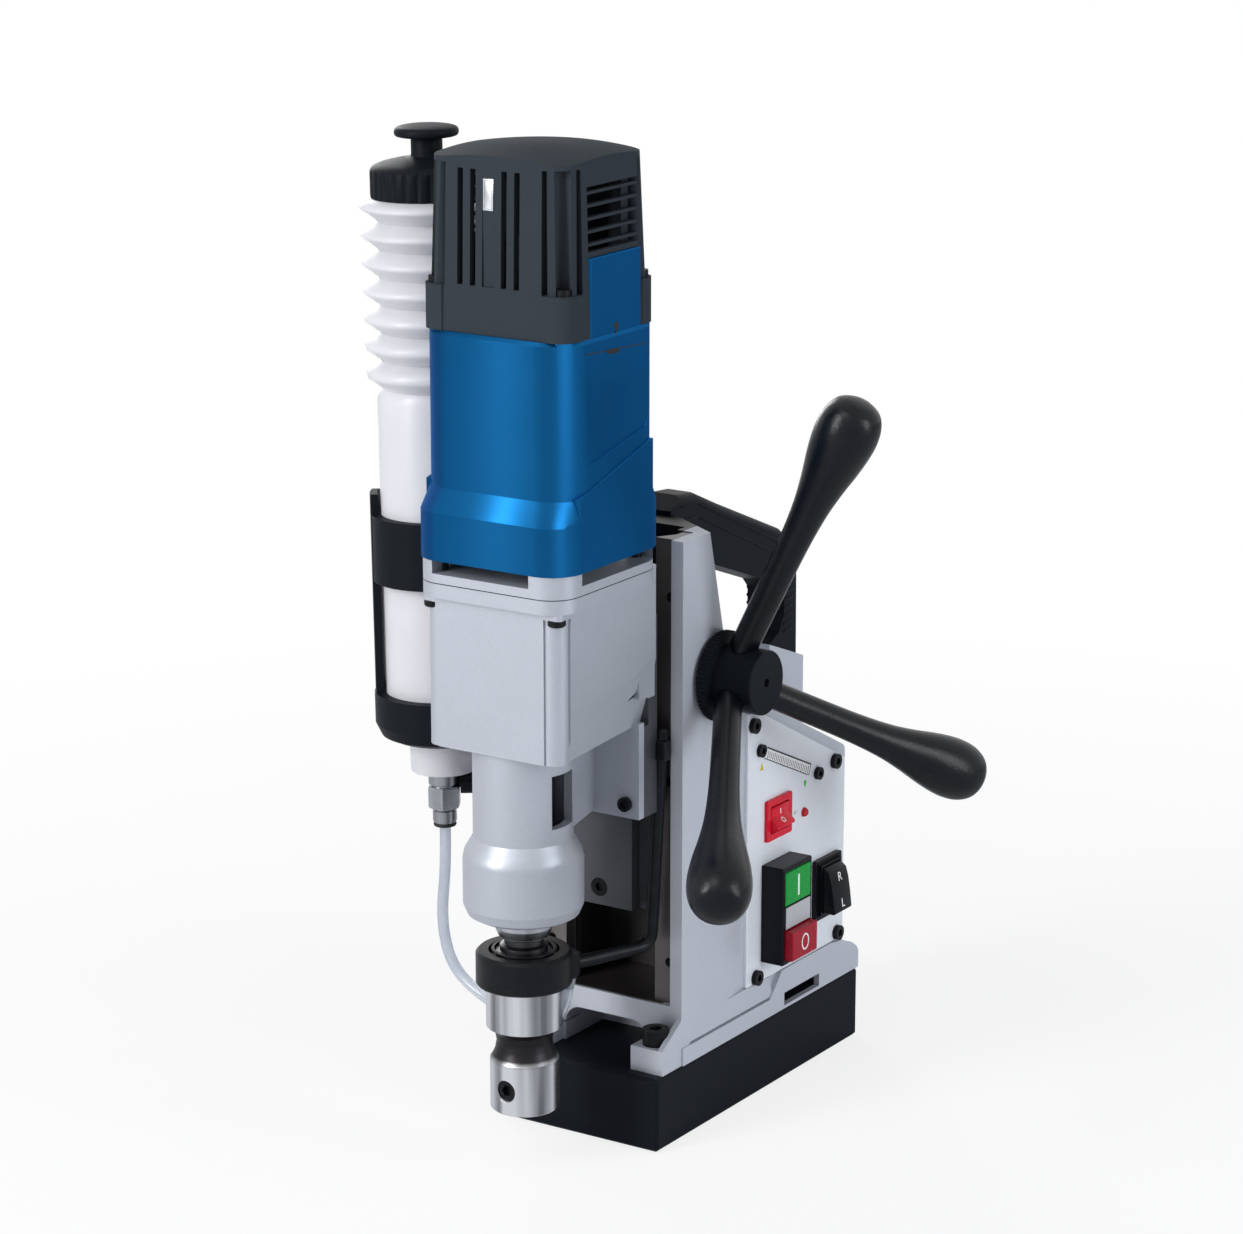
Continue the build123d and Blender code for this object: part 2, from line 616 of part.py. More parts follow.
tongue = block(-7.7, 7.7, 69.3, 82.7, 192, 212)
handle += tongue
handle -= rod_y(0, 288, -40, -8, M6)
handle -= rod_y(0, 200, 60, 90, M5)
write("carry_handle", handle)
front_screw = Pos(0, -38.5, 288) * Rot(90, 0, 0) * cap_screw(M6, 26, 5.0, 5.2)
rear_screw = Pos(0, LUG_REAR, 200) * Rot(-90, 0, 0) * cap_screw(M5, 20, 4.2, 3.0)
write("handle_screws", Compound(children=[front_screw, rear_screw]))

# ---------------------------------------------------------------- feed gear
pinion = Rot(0, 90, 0) * toothed(FEED_PITCH_RADIUS, FEED_TEETH, 3.0, 0, 0, -11.5, 11.5)
shaft = rod_x(FEED_Y, FEED_Z, SHAFT_END_X, HUB_END_X - 3, FEED_SHAFT_RADIUS)
shaft += Pos(0, FEED_Y, FEED_Z) * pinion
write("pinion_shaft", shaft)

inner = FEED_SHAFT_RADIUS + RUNNING_GAP
bush = rod_x(FEED_Y, FEED_Z, 28.2, COLUMN_HALF_WIDTH, FEED_BUSH_RADIUS)
bush -= rod_x(FEED_Y, FEED_Z, 20, 60, inner)
write("shaft_bushes", Compound(children=[bush, mirrored(bush)]))

end_cap = rod_x(FEED_Y, FEED_Z, END_CAP_INNER_X - END_CAP_THICKNESS, END_CAP_INNER_X, 15.0)
end_cap = chamfer(end_cap.edges().group_by(Axis.X)[0], 1.2)
end_cap -= rod_x(FEED_Y, FEED_Z, SHAFT_END_X, END_CAP_INNER_X + 5, FEED_SHAFT_RADIUS)
write("shaft_end_cap", end_cap)

hub = rod_x(FEED_Y, FEED_Z, FLANGE_INNER_X + FLANGE_THICKNESS, HUB_END_X, HUB_RADIUS)
hub = fillet(hub.edges().group_by(Axis.X)[-1], 1.0)
hub -= rod_x(FEED_Y, FEED_Z, FLANGE_INNER_X - 5, HUB_END_X - 3, FEED_SHAFT_RADIUS)
hub -= rod_x(FEED_Y, FEED_Z, HUB_END_X - 4, HUB_END_X + 1, 2.2)


def spoke_frame(angle):
    # z runs along the spoke, starting on the hub's axis
    turn = Location((0, FEED_Y, FEED_Z), (angle, 0, 0))
    return turn * Location((SPOKE_ROOT_X, 0, 0)) * Location(
        Plane(
            origin=(0, 0, 0),
            x_dir=(0, 0, 1),
            z_dir=(math.sin(math.radians(SPOKE_SPLAY)), math.cos(math.radians(SPOKE_SPLAY)), 0),
        )
    )


grip_profile = [
    (0, 17.0),
    (6.8, 17.0),
    (7.1, 50.0),
    (7.4, 78.0),
    (8.6, 98.0),
    (10.6, 112.0),
    (13.4, 126.0),
    (14.9, 136.0),
    (GRIP_RADIUS, SPOKE_REACH),
    (14.2, 150.0),
    (11.4, 155.6),
    (6.6, 158.6),
    (0, 159.4),
]
grip_face = Plane.XZ * make_face(
    Polyline((6.8, 17.0), (0, 17.0), (0, 159.4))
    + Spline((0, 159.4), *reversed(grip_profile[2:-1]), (6.8, 17.0), tangents=((1, 0), (-0.02, -1)))
)
grip = revolve(grip_face, Axis.Z)
SPOKE_ROD_RADIUS = 5.0
ROD_SOCKET_START = 12.0
steel = rod_z(0, 0, ROD_SOCKET_START, 60, SPOKE_ROD_RADIUS)
grip -= rod_z(0, 0, ROD_SOCKET_START, 60, SPOKE_ROD_RADIUS)
for name, angle in zip(("grip_up", "grip_rear", "grip_front"), SPOKE_ANGLES):
    frame = spoke_frame(angle)
    hub -= frame * rod_z(0, 0, ROD_SOCKET_START, 60, SPOKE_ROD_RADIUS)
    hub -= frame * rod_z(0, 0, 16.9, 60, 7.0)
    write(name, frame * grip)
spokes = [spoke_frame(a) * steel for a in SPOKE_ANGLES]
write("spoke_rods", Compound(children=spokes))
write("feed_hub", hub)

knurl = []
KNURLS = 60
for i in range(2 * KNURLS):
    radius = FLANGE_RADIUS - (0.7 if i % 2 else 0)
    a = math.pi * i / KNURLS
    knurl.append((radius * math.cos(a), radius * math.sin(a)))
flange = Rot(0, 90, 0) * prism_xy(knurl, 0, FLANGE_THICKNESS)
flange = Pos(FLANGE_INNER_X, FEED_Y, FEED_Z) * flange
flange -= rod_x(FEED_Y, FEED_Z, 40, 60, FEED_SHAFT_RADIUS)
write("feed_flange", flange)

# ---------------------------------------------------------------- carriage slide and rack
n, f = DOVETAIL_NECK, DOVETAIL_FOOT
slide_outline = [
    (-f, DOVETAIL_KNEE_Y),
    (-f, RAIL_BACK - DOVETAIL_GAP),
    (f, RAIL_BACK - DOVETAIL_GAP),
    (f, DOVETAIL_KNEE_Y),
    (n, RAIL_FRONT),
    (n, RAIL_FRONT - 3.0),
    (SLIDE_FRONT_HALF_WIDTH, RAIL_FRONT - 3.0),
    (SLIDE_FRONT_HALF_WIDTH, SLIDE_FRONT),
    (-SLIDE_FRONT_HALF_WIDTH, SLIDE_FRONT),
    (-SLIDE_FRONT_HALF_WIDTH, RAIL_FRONT - 3.0),
    (-n, RAIL_FRONT - 3.0),
    (-n, RAIL_FRONT),
]
slide = prism_xy(slide_outline, SLIDE_BOTTOM, SLIDE_TOP)
neck_back = RAIL_FRONT - 3.0
for z0, z1, y0 in (
    (FLANGE_PLATE_BOTTOM, GEARBOX_BOTTOM, PAD_FRONT),
    (GEARBOX_BOTTOM - 0.5, SLIDE_TOP, GEARBOX_BACK),
):
    slide += block(-PAD_HALF_WIDTH, PAD_HALF_WIDTH, y0, SLIDE_FRONT, z0, z1)
    slide += block(-n + 1, n - 1, y0, neck_back, z0, z1)
RACK_HALF_WIDTH = 9.0
RACK_PITCH_Y = FEED_Y - FEED_PITCH_RADIUS
RACK_BACK_Y = RAIL_BACK - 8.0
RACK_BOTTOM, RACK_TOP = SLIDE_BOTTOM + 1.5, SLIDE_TOP - 1.0
slide -= block(-RACK_HALF_WIDTH, RACK_HALF_WIDTH, RACK_BACK_Y, -50, SLIDE_BOTTOM - 1, SLIDE_TOP + 1)
# half-round saddle on the pad that carries the upright of the ring's rod
ROD_FOOT = Vector(28.2, -77.0, 98.0)
ROD_HEAD = Vector(34.4, -77.0, ROD_TOP)
rod_run = ROD_HEAD - ROD_FOOT
rod_lean = math.degrees(math.atan2(rod_run.X, rod_run.Z))
rod_middle = (ROD_FOOT + ROD_HEAD) * 0.5
rod_bar = Pos(*rod_middle) * Rot(0, rod_lean, 0) * Cylinder(ROD_RADIUS, rod_run.length + 20)
slide += block(28.0, 38.6, SLIDE_FRONT - 1, ROD_FOOT.Y, 194, 203)
slide -= rod_bar
RACK_SCREWS_Z = (123.4, 240.0)
rack = block(-RACK_HALF_WIDTH, RACK_HALF_WIDTH, RACK_BACK_Y, RACK_PITCH_Y - 3.0, RACK_BOTTOM, RACK_TOP)
pitch = 2 * math.pi * FEED_PITCH_RADIUS / FEED_TEETH
tip_y = RACK_PITCH_Y - 0.06
profile = [(RACK_PITCH_Y - 3.1, RACK_BOTTOM)]
z = RACK_BOTTOM
while z + pitch < RACK_TOP:
    root = RACK_PITCH_Y - 3.0
    profile += [(root, z + 0.05 * pitch), (tip_y, z + 0.3 * pitch), (tip_y, z + 0.6 * pitch)]
    profile += [(root, z + 0.85 * pitch)]
    z += pitch
profile.append((RACK_PITCH_Y - 3.1, RACK_TOP))
rack += prism_yz(profile, -RACK_HALF_WIDTH, RACK_HALF_WIDTH)
rack_screws = []
for z in RACK_SCREWS_Z:
    front = SLIDE_FRONT if z < GEARBOX_BOTTOM else SLIDE_FRONT + 1.0
    seat = SLIDE_FRONT + 3.0
    slide -= rod_y(0, z, -100, -55, M5 + THROUGH_GAP) + rod_y(0, z, -100, seat, 4.7)
    rack -= rod_y(0, z, -70, RACK_PITCH_Y - 4.2, M5)
    rack_screws.append(Pos(0, seat, z) * Rot(90, 0, 0) * cap_screw(M5, 16.5, 4.5, 3.0))
write("feed_rack", rack)

# ---------------------------------------------------------------- gearbox housing
gb = rounded_box(GEARBOX_HALF_WIDTH, GEARBOX_FRONT, GEARBOX_BACK, GEARBOX_BOTTOM, GEARBOX_SEAM, 3.0)
gb += rounded_box(
    GEARBOX_FLANGE_HALF_WIDTH, GEARBOX_FLANGE_FRONT, GEARBOX_BACK, GEARBOX_FLANGE_BOTTOM, GEARBOX_SEAM, GEARBOX_CORNER
)
# corner pockets in front with a round screw column in each
for side in (-1, 1):
    cx = side * (GEARBOX_HALF_WIDTH - 7.5)
    cy = GEARBOX_FRONT + 7.5
    pocket = block(
        min(side * 50, side * (GEARBOX_HALF_WIDTH - 9)), max(side * 50, side * (GEARBOX_HALF_WIDTH - 9)),
        GEARBOX_FRONT - 10, GEARBOX_FRONT + 9, GEARBOX_BOTTOM - 1, GEARBOX_FLANGE_BOTTOM - 3
    )
    gb -= pocket
    gb += rod_z(cx, cy, GEARBOX_BOTTOM, GEARBOX_SEAM, 6.6)
# the lower sides lean inwards below a crease that rises to the rear
crease_a, crease_b = Vector(GEARBOX_HALF_WIDTH, -157, 226), Vector(GEARBOX_HALF_WIDTH, -99, 246)
low = Vector(GEARBOX_HALF_WIDTH - 6.5, -128, GEARBOX_BOTTOM)
normal = (crease_b - crease_a).cross(low - crease_a).normalized()
if normal.X < 0:
    normal = normal * -1
lean = Location(Plane(origin=crease_a, z_dir=normal)) * Pos(0, 0, 20) * Box(200, 200, 40)
lean = lean & block(0, 80, -162, -80, GEARBOX_BOTTOM - 5, GEARBOX_FLANGE_BOTTOM - 5)
gb -= lean
gb -= mirrored(lean)
gb += turned(
    [
        (0, GEARBOX_BOTTOM + 2),
        (NECK_RADIUS, GEARBOX_BOTTOM + 2),
        (NECK_RADIUS, NECK_SHOULDER),
        (NOSE_RADIUS - 0.8, NOSE_SHOULDER + 2.2),
        (NOSE_RADIUS, NOSE_SHOULDER - 1.5),
        (NOSE_RADIUS, NOSE_BOTTOM + 7),
        (NOSE_RADIUS - 2.0, NOSE_BOTTOM + 2.2),
        (NOSE_RADIUS - 6.0, NOSE_BOTTOM),
        (0, NOSE_BOTTOM),
    ],
    y=SPINDLE_Y,
)
plate_front = PAD_FRONT - FLANGE_PLATE_THICKNESS
gb += block(-PAD_HALF_WIDTH, PAD_HALF_WIDTH, plate_front, PAD_FRONT, FLANGE_PLATE_BOTTOM, GEARBOX_BOTTOM + 2)
web = [
    (SPINDLE_Y + 18, GEARBOX_BOTTOM + 2),
    (plate_front + 1, GEARBOX_BOTTOM + 2),
    (plate_front + 1, FLANGE_PLATE_BOTTOM + 1.5),
    (SPINDLE_Y + 31, FLANGE_PLATE_BOTTOM - 2.5),
    (SPINDLE_Y + 21, 150.0),
    (SPINDLE_Y + 18, 150.0),
]
gb += prism_yz(web, -8, 8)

# inside: gear space, spindle bore and bearing seats
FLOOR = GEARBOX_BOTTOM + 17.0
LAY_1 = (13.0, -112.0)
LAY_2 = (-13.0, -116.0)
SEAT_RADIUS = 21.0
LOWER_BEARING = (NOSE_BOTTOM + 5.0, NOSE_BOTTOM + 19.0)
UPPER_BEARING = (GEARBOX_BOTTOM + 3.0, FLOOR)
cavity = rounded_box(
    GEARBOX_HALF_WIDTH - GEARBOX_WALL, GEARBOX_FRONT + GEARBOX_WALL, GEARBOX_BACK - GEARBOX_WALL,
    FLOOR, GEARBOX_SEAM + 1, 2.0
)
for side in (-1, 1):
    cavity -= rod_z(side * (GEARBOX_HALF_WIDTH - 7.5), GEARBOX_FRONT + 7.5, 200, 300, 6.6 + 2.5)
cavity = cavity - block(27, 60, GEARBOX_FRONT - 5, GEARBOX_FRONT + 12, 200, 300)
cavity = cavity - block(-60, -27, GEARBOX_FRONT - 5, GEARBOX_FRONT + 12, 200, 300)
gb -= cavity
gb -= rod_z(0, SPINDLE_Y, 100, FLOOR + 5, NECK_BORE)
gb -= rod_z(0, SPINDLE_Y, *UPPER_BEARING, SEAT_RADIUS)
gb -= rod_z(0, SPINDLE_Y, NOSE_BOTTOM - 1, LOWER_BEARING[1], 23.5)
gb -= block(
    -40, 40, SPINDLE_Y - DRIFT_SLOT_WIDTH / 2, SPINDLE_Y + DRIFT_SLOT_WIDTH / 2,
    DRIFT_SLOT_BOTTOM, DRIFT_SLOT_BOTTOM + DRIFT_SLOT_HEIGHT
)
LAY_PIN = 4.0
for x, y in (LAY_1, LAY_2):
    gb += rod_z(x, y, FLOOR - 1, FLOOR + 4, 8.0)
    gb -= rod_z(x, y, FLOOR - 8, FLOOR + 10, LAY_PIN + RUNNING_GAP)
gb += block(-GEARBOX_HALF_WIDTH + 2, GEARBOX_HALF_WIDTH - 2, GEARBOX_BACK - 6, GEARBOX_BACK, FLOOR - 2, 275)
HOUSING_SCREWS = [(side * (GEARBOX_HALF_WIDTH - 7.5), y) for side in (-1, 1) for y in (
    GEARBOX_FRONT + 7.5, GEARBOX_BACK - 7.5)]
for side in (-1, 1):
    gb += block(
        min(side * 28, side * 37), max(side * 28, side * 37), GEARBOX_BACK - 14, GEARBOX_BACK - 1, FLOOR - 1, GEARBOX_SEAM
    )
for x, y in HOUSING_SCREWS:
    gb -= rod_z(x, y, GEARBOX_SEAM - 22, GEARBOX_SEAM + 1, M5)
CARRIAGE_SCREWS = [(side * 15.5, z) for side in (-1, 1) for z in (FLOOR + 8, 254.0)]
PLATE_SCREWS = [(side * 26.0, z) for side in (-1, 1) for z in (174.5,)]
screws = list(rack_screws)
for x, z in CARRIAGE_SCREWS:
    gb -= rod_y(x, z, -120, -80, M6 + THROUGH_GAP)
    slide -= rod_y(x, z, GEARBOX_BACK - 1, -76.5, M6)
    screws.append(Pos(x, GEARBOX_BACK - 6, z) * Rot(90, 0, 0) * cap_screw(M6, 16, 5.0, 6.0))
for x, z in PLATE_SCREWS:
    gb -= rod_y(x, z, -120, -80, M4 + THROUGH_GAP)
    slide -= rod_y(x, z, PAD_FRONT - 1, -80, M4)
    screws.append(Pos(x, plate_front, z) * Rot(90, 0, 0) * cap_screw(M4, 14, 3.5, 2.4))
write("carriage_screws", Compound(children=screws))
write("carriage_slide", slide)
write("gearbox_housing", gb)

# ---------------------------------------------------------------- gearbox cover plate
cover = rounded_box(
    GEARBOX_FLANGE_HALF_WIDTH, GEARBOX_FLANGE_FRONT, GEARBOX_BACK, GEARBOX_SEAM, VENT_GAP_BOTTOM, GEARBOX_CORNER
)
posts = rounded_box(
    GEARBOX_FLANGE_HALF_WIDTH, GEARBOX_FLANGE_FRONT, GEARBOX_BACK, VENT_GAP_BOTTOM, HOUSING_BOTTOM, GEARBOX_CORNER
)
posts -= block(-30, 24, -200, -60, VENT_GAP_BOTTOM, HOUSING_BOTTOM)
posts -= block(-60, 60, -157, -93, VENT_GAP_BOTTOM, HOUSING_BOTTOM)
posts -= rounded_box(32, -165, -96, VENT_GAP_BOTTOM, HOUSING_BOTTOM, 6)
cover += posts
BEARING_RADIUS, BEARING_HEIGHT = 11.0, 9.0
bearing_z = GEARBOX_SEAM - 4.5
cover += rod_z(0, MOTOR_Y, bearing_z, VENT_GAP_BOTTOM, 14.0)
for x, y in (LAY_1, LAY_2):
    cover += rod_z(x, y, GEARBOX_SEAM - 3, GEARBOX_SEAM + 1, 7.0)
    cover -= rod_z(x, y, bearing_z - 1, GEARBOX_SEAM + 2.5, LAY_PIN + RUNNING_GAP)
cover -= rod_z(0, MOTOR_Y, bearing_z + 1.5, bearing_z + 1.5 + BEARING_HEIGHT, BEARING_RADIUS)
cover -= rod_z(0, MOTOR_Y, 280, 310, 6.0)
for x, y in HOUSING_SCREWS:
    cover -= rod_z(x, y, 280, 310, M5 + THROUGH_GAP)
write("gearbox_cover", cover)

# ---------------------------------------------------------------- motor housing
skirt = rounded_box(SKIRT_HALF_WIDTH, SKIRT_FRONT, SKIRT_BACK, HOUSING_BOTTOM, SKIRT_TOP, 16)


def outline_at(half_width, front, back, corner, z):
    return Pos(0, (front + back) / 2, z) * RectangleRounded(2 * half_width, back - front, corner)


belt = loft(
    [
        outline_at(SKIRT_HALF_WIDTH, SKIRT_FRONT, SKIRT_BACK, 16, SKIRT_TOP),
        outline_at(BODY_HALF_WIDTH, BODY_FRONT, BODY_BACK, BODY_CORNER, BELT_TOP),
    ]
)
body = rounded_box(BODY_HALF_WIDTH, BODY_FRONT, BODY_BACK, BELT_TOP, HOUSING_TOP, BODY_CORNER)
body = chamfer(body.edges().group_by(Axis.Z)[-1], 1.6)
housing = skirt + belt + body
shield_outline = [(-160, 330), (-160, 338), (-95, 357), (-93, 330)]
for side in (-1, 1):
    shield = prism_yz(shield_outline, BODY_HALF_WIDTH - 2, BODY_HALF_WIDTH + 0.9)
    shield = shield & block(0, 60, -160, -99, 300, 400)
    housing += shield if side > 0 else mirrored(shield)
    label = [(-151, 352), (-151, 397), (-101, 397), (-101, 366), (-104, 362)]
    recess = prism_yz(label, BODY_HALF_WIDTH - 0.8, BODY_HALF_WIDTH + 5)
    housing -= recess if side > 0 else mirrored(recess)
hollow = rounded_box(
    BODY_HALF_WIDTH - MOTOR_WALL, BODY_FRONT + MOTOR_WALL, BODY_BACK - MOTOR_WALL,
    HOUSING_BOTTOM - 1, HOUSING_TOP + 1, BODY_CORNER - MOTOR_WALL
)
housing -= hollow
STATOR_Z = (HOUSING_BOTTOM + 26.6, HOUSING_TOP - 20.0)
ledge = rounded_box(
    BODY_HALF_WIDTH - 1, BODY_FRONT + 1, BODY_BACK - 1, STATOR_Z[0] - 6, STATOR_Z[0], BODY_CORNER - 1
)
ledge -= rod_z(0, MOTOR_Y, 300, 400, STATOR_RADIUS - 3)
housing += ledge
for x, y in HOUSING_SCREWS:
    housing += rod_z(x, y, HOUSING_BOTTOM, STATOR_Z[0] - 2, 6.0)
    housing -= rod_z(x, y, 290, STATOR_Z[0] + 2, M5 + THROUGH_GAP)
    housing -= rod_z(x, y, STATOR_Z[0] - 2, STATOR_Z[0] + 1, 4.4)

housing_screws = []
for x, y in HOUSING_SCREWS:
    housing_screws.append(Pos(x, y, STATOR_Z[0] - 2) * cap_screw(M5, 52, 4.2, 1.9))

stator = rod_z(0, MOTOR_Y, *STATOR_Z, STATOR_RADIUS) - rod_z(0, MOTOR_Y, STATOR_Z[0] - 10, STATOR_Z[1] + 10, STATOR_BORE)
stator += rod_z(0, MOTOR_Y, STATOR_Z[1], STATOR_Z[1] + 8, 32) - rod_z(0, MOTOR_Y, STATOR_Z[1] - 10, STATOR_Z[1] + 10, 25)
stator = stator & rounded_box(
    BODY_HALF_WIDTH - MOTOR_WALL, BODY_FRONT + MOTOR_WALL, BODY_BACK - MOTOR_WALL, 300, 420, 15
)
write("motor_stator", stator)

# ---------------------------------------------------------------- motor cap
cap_low = outline_at(CAP_HALF_WIDTH, CAP_FRONT, CAP_BACK, CAP_CORNER, HOUSING_TOP - 1)
cap_high = outline_at(CAP_HALF_WIDTH - 2.2, CAP_FRONT + 2.0, CAP_BACK - 3.5, CAP_CORNER, CAP_TOP)
cap = loft([cap_low, cap_high])
crown = Pos(0, (CAP_FRONT + CAP_BACK) / 2, CAP_TOP - 240) * Sphere(240)
cap = cap & (crown + block(-60, 60, -200, -50, HOUSING_TOP - 10, CAP_TOP - 14))
cap_inner_low = outline_at(CAP_HALF_WIDTH - 3, CAP_FRONT + 3, CAP_BACK - 3, CAP_CORNER - 3, HOUSING_TOP - 2)
cap_inner_high = outline_at(CAP_HALF_WIDTH - 5.5, CAP_FRONT + 5.5, CAP_BACK - 7, CAP_CORNER - 3, CAP_TOP - 5)
cap_hollow = loft([cap_inner_low, cap_inner_high])
CAP_BOSS_TOP = HOUSING_TOP + 21.0
CAP_RECESS_TOP = CAP_TOP - 7.0
CAP_CORNERS = [(side * (CAP_HALF_WIDTH - 6.5), y, side) for side in (-1, 1) for y in (CAP_FRONT + 6.5, CAP_BACK - 6.5)]
solid_corners = []
for x, y, side in CAP_CORNERS:
    cap_hollow -= rod_z(x, y, HOUSING_TOP - 10, CAP_TOP + 6, 13.5)
cap -= cap_hollow
for x, y, side in CAP_CORNERS:
    toward = -1 if y < -130 else 1
    pocket = rod_z(x + side * 2.5, y + toward * 2.5, CAP_BOSS_TOP, CAP_RECESS_TOP, 10.5)
    column_core = rod_z(x - side * 1.0, y - toward * 1.0, HOUSING_TOP - 10, CAP_RECESS_TOP + 1, 6.6)
    cap -= pocket - column_core
    boss = rod_z(x + side * 0.8, y + toward * 0.8, HOUSING_TOP - 1, CAP_BOSS_TOP, 9.4)
    cap += boss & rounded_box(
        CAP_HALF_WIDTH + 0.4, CAP_FRONT - 0.6, CAP_BACK + 0.6, HOUSING_TOP - 10, CAP_BOSS_TOP + 9, 9
    )
CAP_SCREW_OUT = 1.6
cap_screws = []
for x, y, side in CAP_CORNERS:
    toward = -1 if y < -130 else 1
    sx, sy = x + side * CAP_SCREW_OUT * 0.72, y + toward * CAP_SCREW_OUT * 0.72
    cap -= rod_z(sx, sy, HOUSING_TOP - 10, CAP_BOSS_TOP + 1, M4 + THROUGH_GAP)
    cap -= rod_z(sx, sy, CAP_BOSS_TOP, CAP_RECESS_TOP, 3.8)
    cap_screws.append((sx, sy))
# tall slots in front, louvres at the sides with a blue brush cover below them
SLOT_CENTRE = -2.5
SLOT_Z = (CAP_BOSS_TOP + 1.0, CAP_TOP - 9.0)
for x in (-15.6, -8.6, 8.4, 15.4):
    cap -= block(SLOT_CENTRE + x - 1.5, SLOT_CENTRE + x + 1.5, CAP_FRONT - 5, CAP_FRONT + 8, *SLOT_Z)
cap -= block(SLOT_CENTRE - 3.4, SLOT_CENTRE + 3.4, CAP_FRONT - 5, CAP_FRONT + 1.6, SLOT_Z[0], SLOT_Z[1] - 3)
LOUVRE_Y = (-148.0, -106.0)
LOUVRE_Z = (CAP_TOP - 45.0, CAP_TOP - 15.5)
COVER_Z = (HOUSING_TOP - 1, LOUVRE_Z[0] - 2.4)
for side in (-1, 1):
    x0, x1 = (CAP_HALF_WIDTH - 7, CAP_HALF_WIDTH + 5) if side > 0 else (-CAP_HALF_WIDTH - 5, -CAP_HALF_WIDTH + 7)
    cap -= block(x0, x1, *LOUVRE_Y, *LOUVRE_Z)
    cap -= block(x0, x1, *LOUVRE_Y, *COVER_Z)
for i in range(5):
    z = LOUVRE_Z[0] + 2.2 + i * 5.9
    slat = prism_yz([(LOUVRE_Y[0] - 1, z), (LOUVRE_Y[1] + 1, z), (LOUVRE_Y[1] + 1, z + 1.4), (LOUVRE_Y[0] - 1, z + 1.4)], 34.8, 37.8)
    cap += slat
    cap += mirrored(slat)
bridge_z = CAP_TOP - 16
cap += rod_z(0, MOTOR_Y, bridge_z, CAP_TOP - 4, 13.0)
cap -= rod_z(0, MOTOR_Y, bridge_z - 1, bridge_z + 8.0, 9.0)
cap = cap & block(-60, 60, -200, -50, HOUSING_TOP, 600)
write("motor_cap", cap)

for sx, sy in cap_screws:
    housing += rod_z(sx, sy, HOUSING_TOP - 12, HOUSING_TOP, 4.4) & rounded_box(
        BODY_HALF_WIDTH, BODY_FRONT, BODY_BACK, 300, HOUSING_TOP, BODY_CORNER
    )
    housing -= rod_z(sx, sy, HOUSING_TOP - 12, HOUSING_TOP + 1, M4)
write("motor_housing", housing)
screws = [Pos(x, y, CAP_BOSS_TOP) * cap_screw(M4, 31, 3.3, 3.0) for x, y in cap_screws]
write("motor_screws", Compound(children=screws + housing_screws))

covers = []
for side in (-1, 1):
    x_out = CAP_HALF_WIDTH + 0.3
    cover_half = block(CAP_HALF_WIDTH - 6.5, x_out, LOUVRE_Y[0] + 0.3, LOUVRE_Y[1] - 0.3, HOUSING_TOP, COVER_Z[1] - 0.3)
    cover_half -= block(CAP_HALF_WIDTH - 8, CAP_HALF_WIDTH - 3, LOUVRE_Y[0] + 4, LOUVRE_Y[1] - 4, HOUSING_TOP + 3, COVER_Z[1] - 4)
    covers.append(cover_half if side > 0 else mirrored(cover_half))
write("brush_covers", Compound(children=covers))

# ---------------------------------------------------------------- armature, fan and brushes
ARMATURE_PINION = 4.0
LAY_1_GEAR, LAY_1_PINION = 15.85, 6.5
LAY_2_GEAR, LAY_2_PINION = 19.8, 10.0
SPINDLE_GEAR = 21.78
shaft_radius = 4.0
COMMUTATOR_RADIUS = 11.0
armature = rod_z(0, MOTOR_Y, 286, bridge_z + 7, shaft_radius)
armature += toothed(ARMATURE_PINION, 8, 1.0, 0, MOTOR_Y, 276, 288)
armature += rod_z(0, MOTOR_Y, STATOR_Z[0] + 2, STATOR_Z[1] - 2, ARMATURE_RADIUS)
armature += rod_z(0, MOTOR_Y, STATOR_Z[0] - 4, STATOR_Z[1] + 4, ARMATURE_RADIUS - 4)
armature += rod_z(0, MOTOR_Y, HOUSING_TOP + 14, bridge_z - 28, COMMUTATOR_RADIUS)
for i in range(12):
    slot = Pos(0, MOTOR_Y, 0) * Rot(0, 0, i * 30) * block(
        ARMATURE_RADIUS - 3, ARMATURE_RADIUS + 1, -1.2, 1.2, STATOR_Z[0] + 1, STATOR_Z[1] - 1
    )
    armature -= slot
fan = rod_z(0, MOTOR_Y, 318, 320, 30) + rod_z(0, MOTOR_Y, 306, 320, 8)
for i in range(12):
    fan += Pos(0, MOTOR_Y, 0) * Rot(0, 0, i * 30) * block(7, 29, -0.9, 0.9, 307, 318)
fan -= rod_z(0, MOTOR_Y, 300, 325, shaft_radius)
write("armature", Compound(children=[armature, fan]))

LOWER_ARMATURE_BEARING = (bearing_z + 1.5, bearing_z + 1.5 + BEARING_HEIGHT)
UPPER_ARMATURE_BEARING = (bridge_z, bridge_z + 8.0)
bearings = []
for (z0, z1), outer in ((LOWER_ARMATURE_BEARING, BEARING_RADIUS), (UPPER_ARMATURE_BEARING, 9.0)):
    bearings.append(rod_z(0, MOTOR_Y, z0, z1, outer) - rod_z(0, MOTOR_Y, z0, z1, shaft_radius + RUNNING_GAP))
write("armature_bearings", Compound(children=bearings))

brush_outer = CAP_HALF_WIDTH - 3
brush = block(COMMUTATOR_RADIUS + 0.2, brush_outer, MOTOR_Y - 6, MOTOR_Y + 6, HOUSING_TOP + 21, HOUSING_TOP + 31)
write("brushes", Compound(children=[brush, mirrored(brush)]))

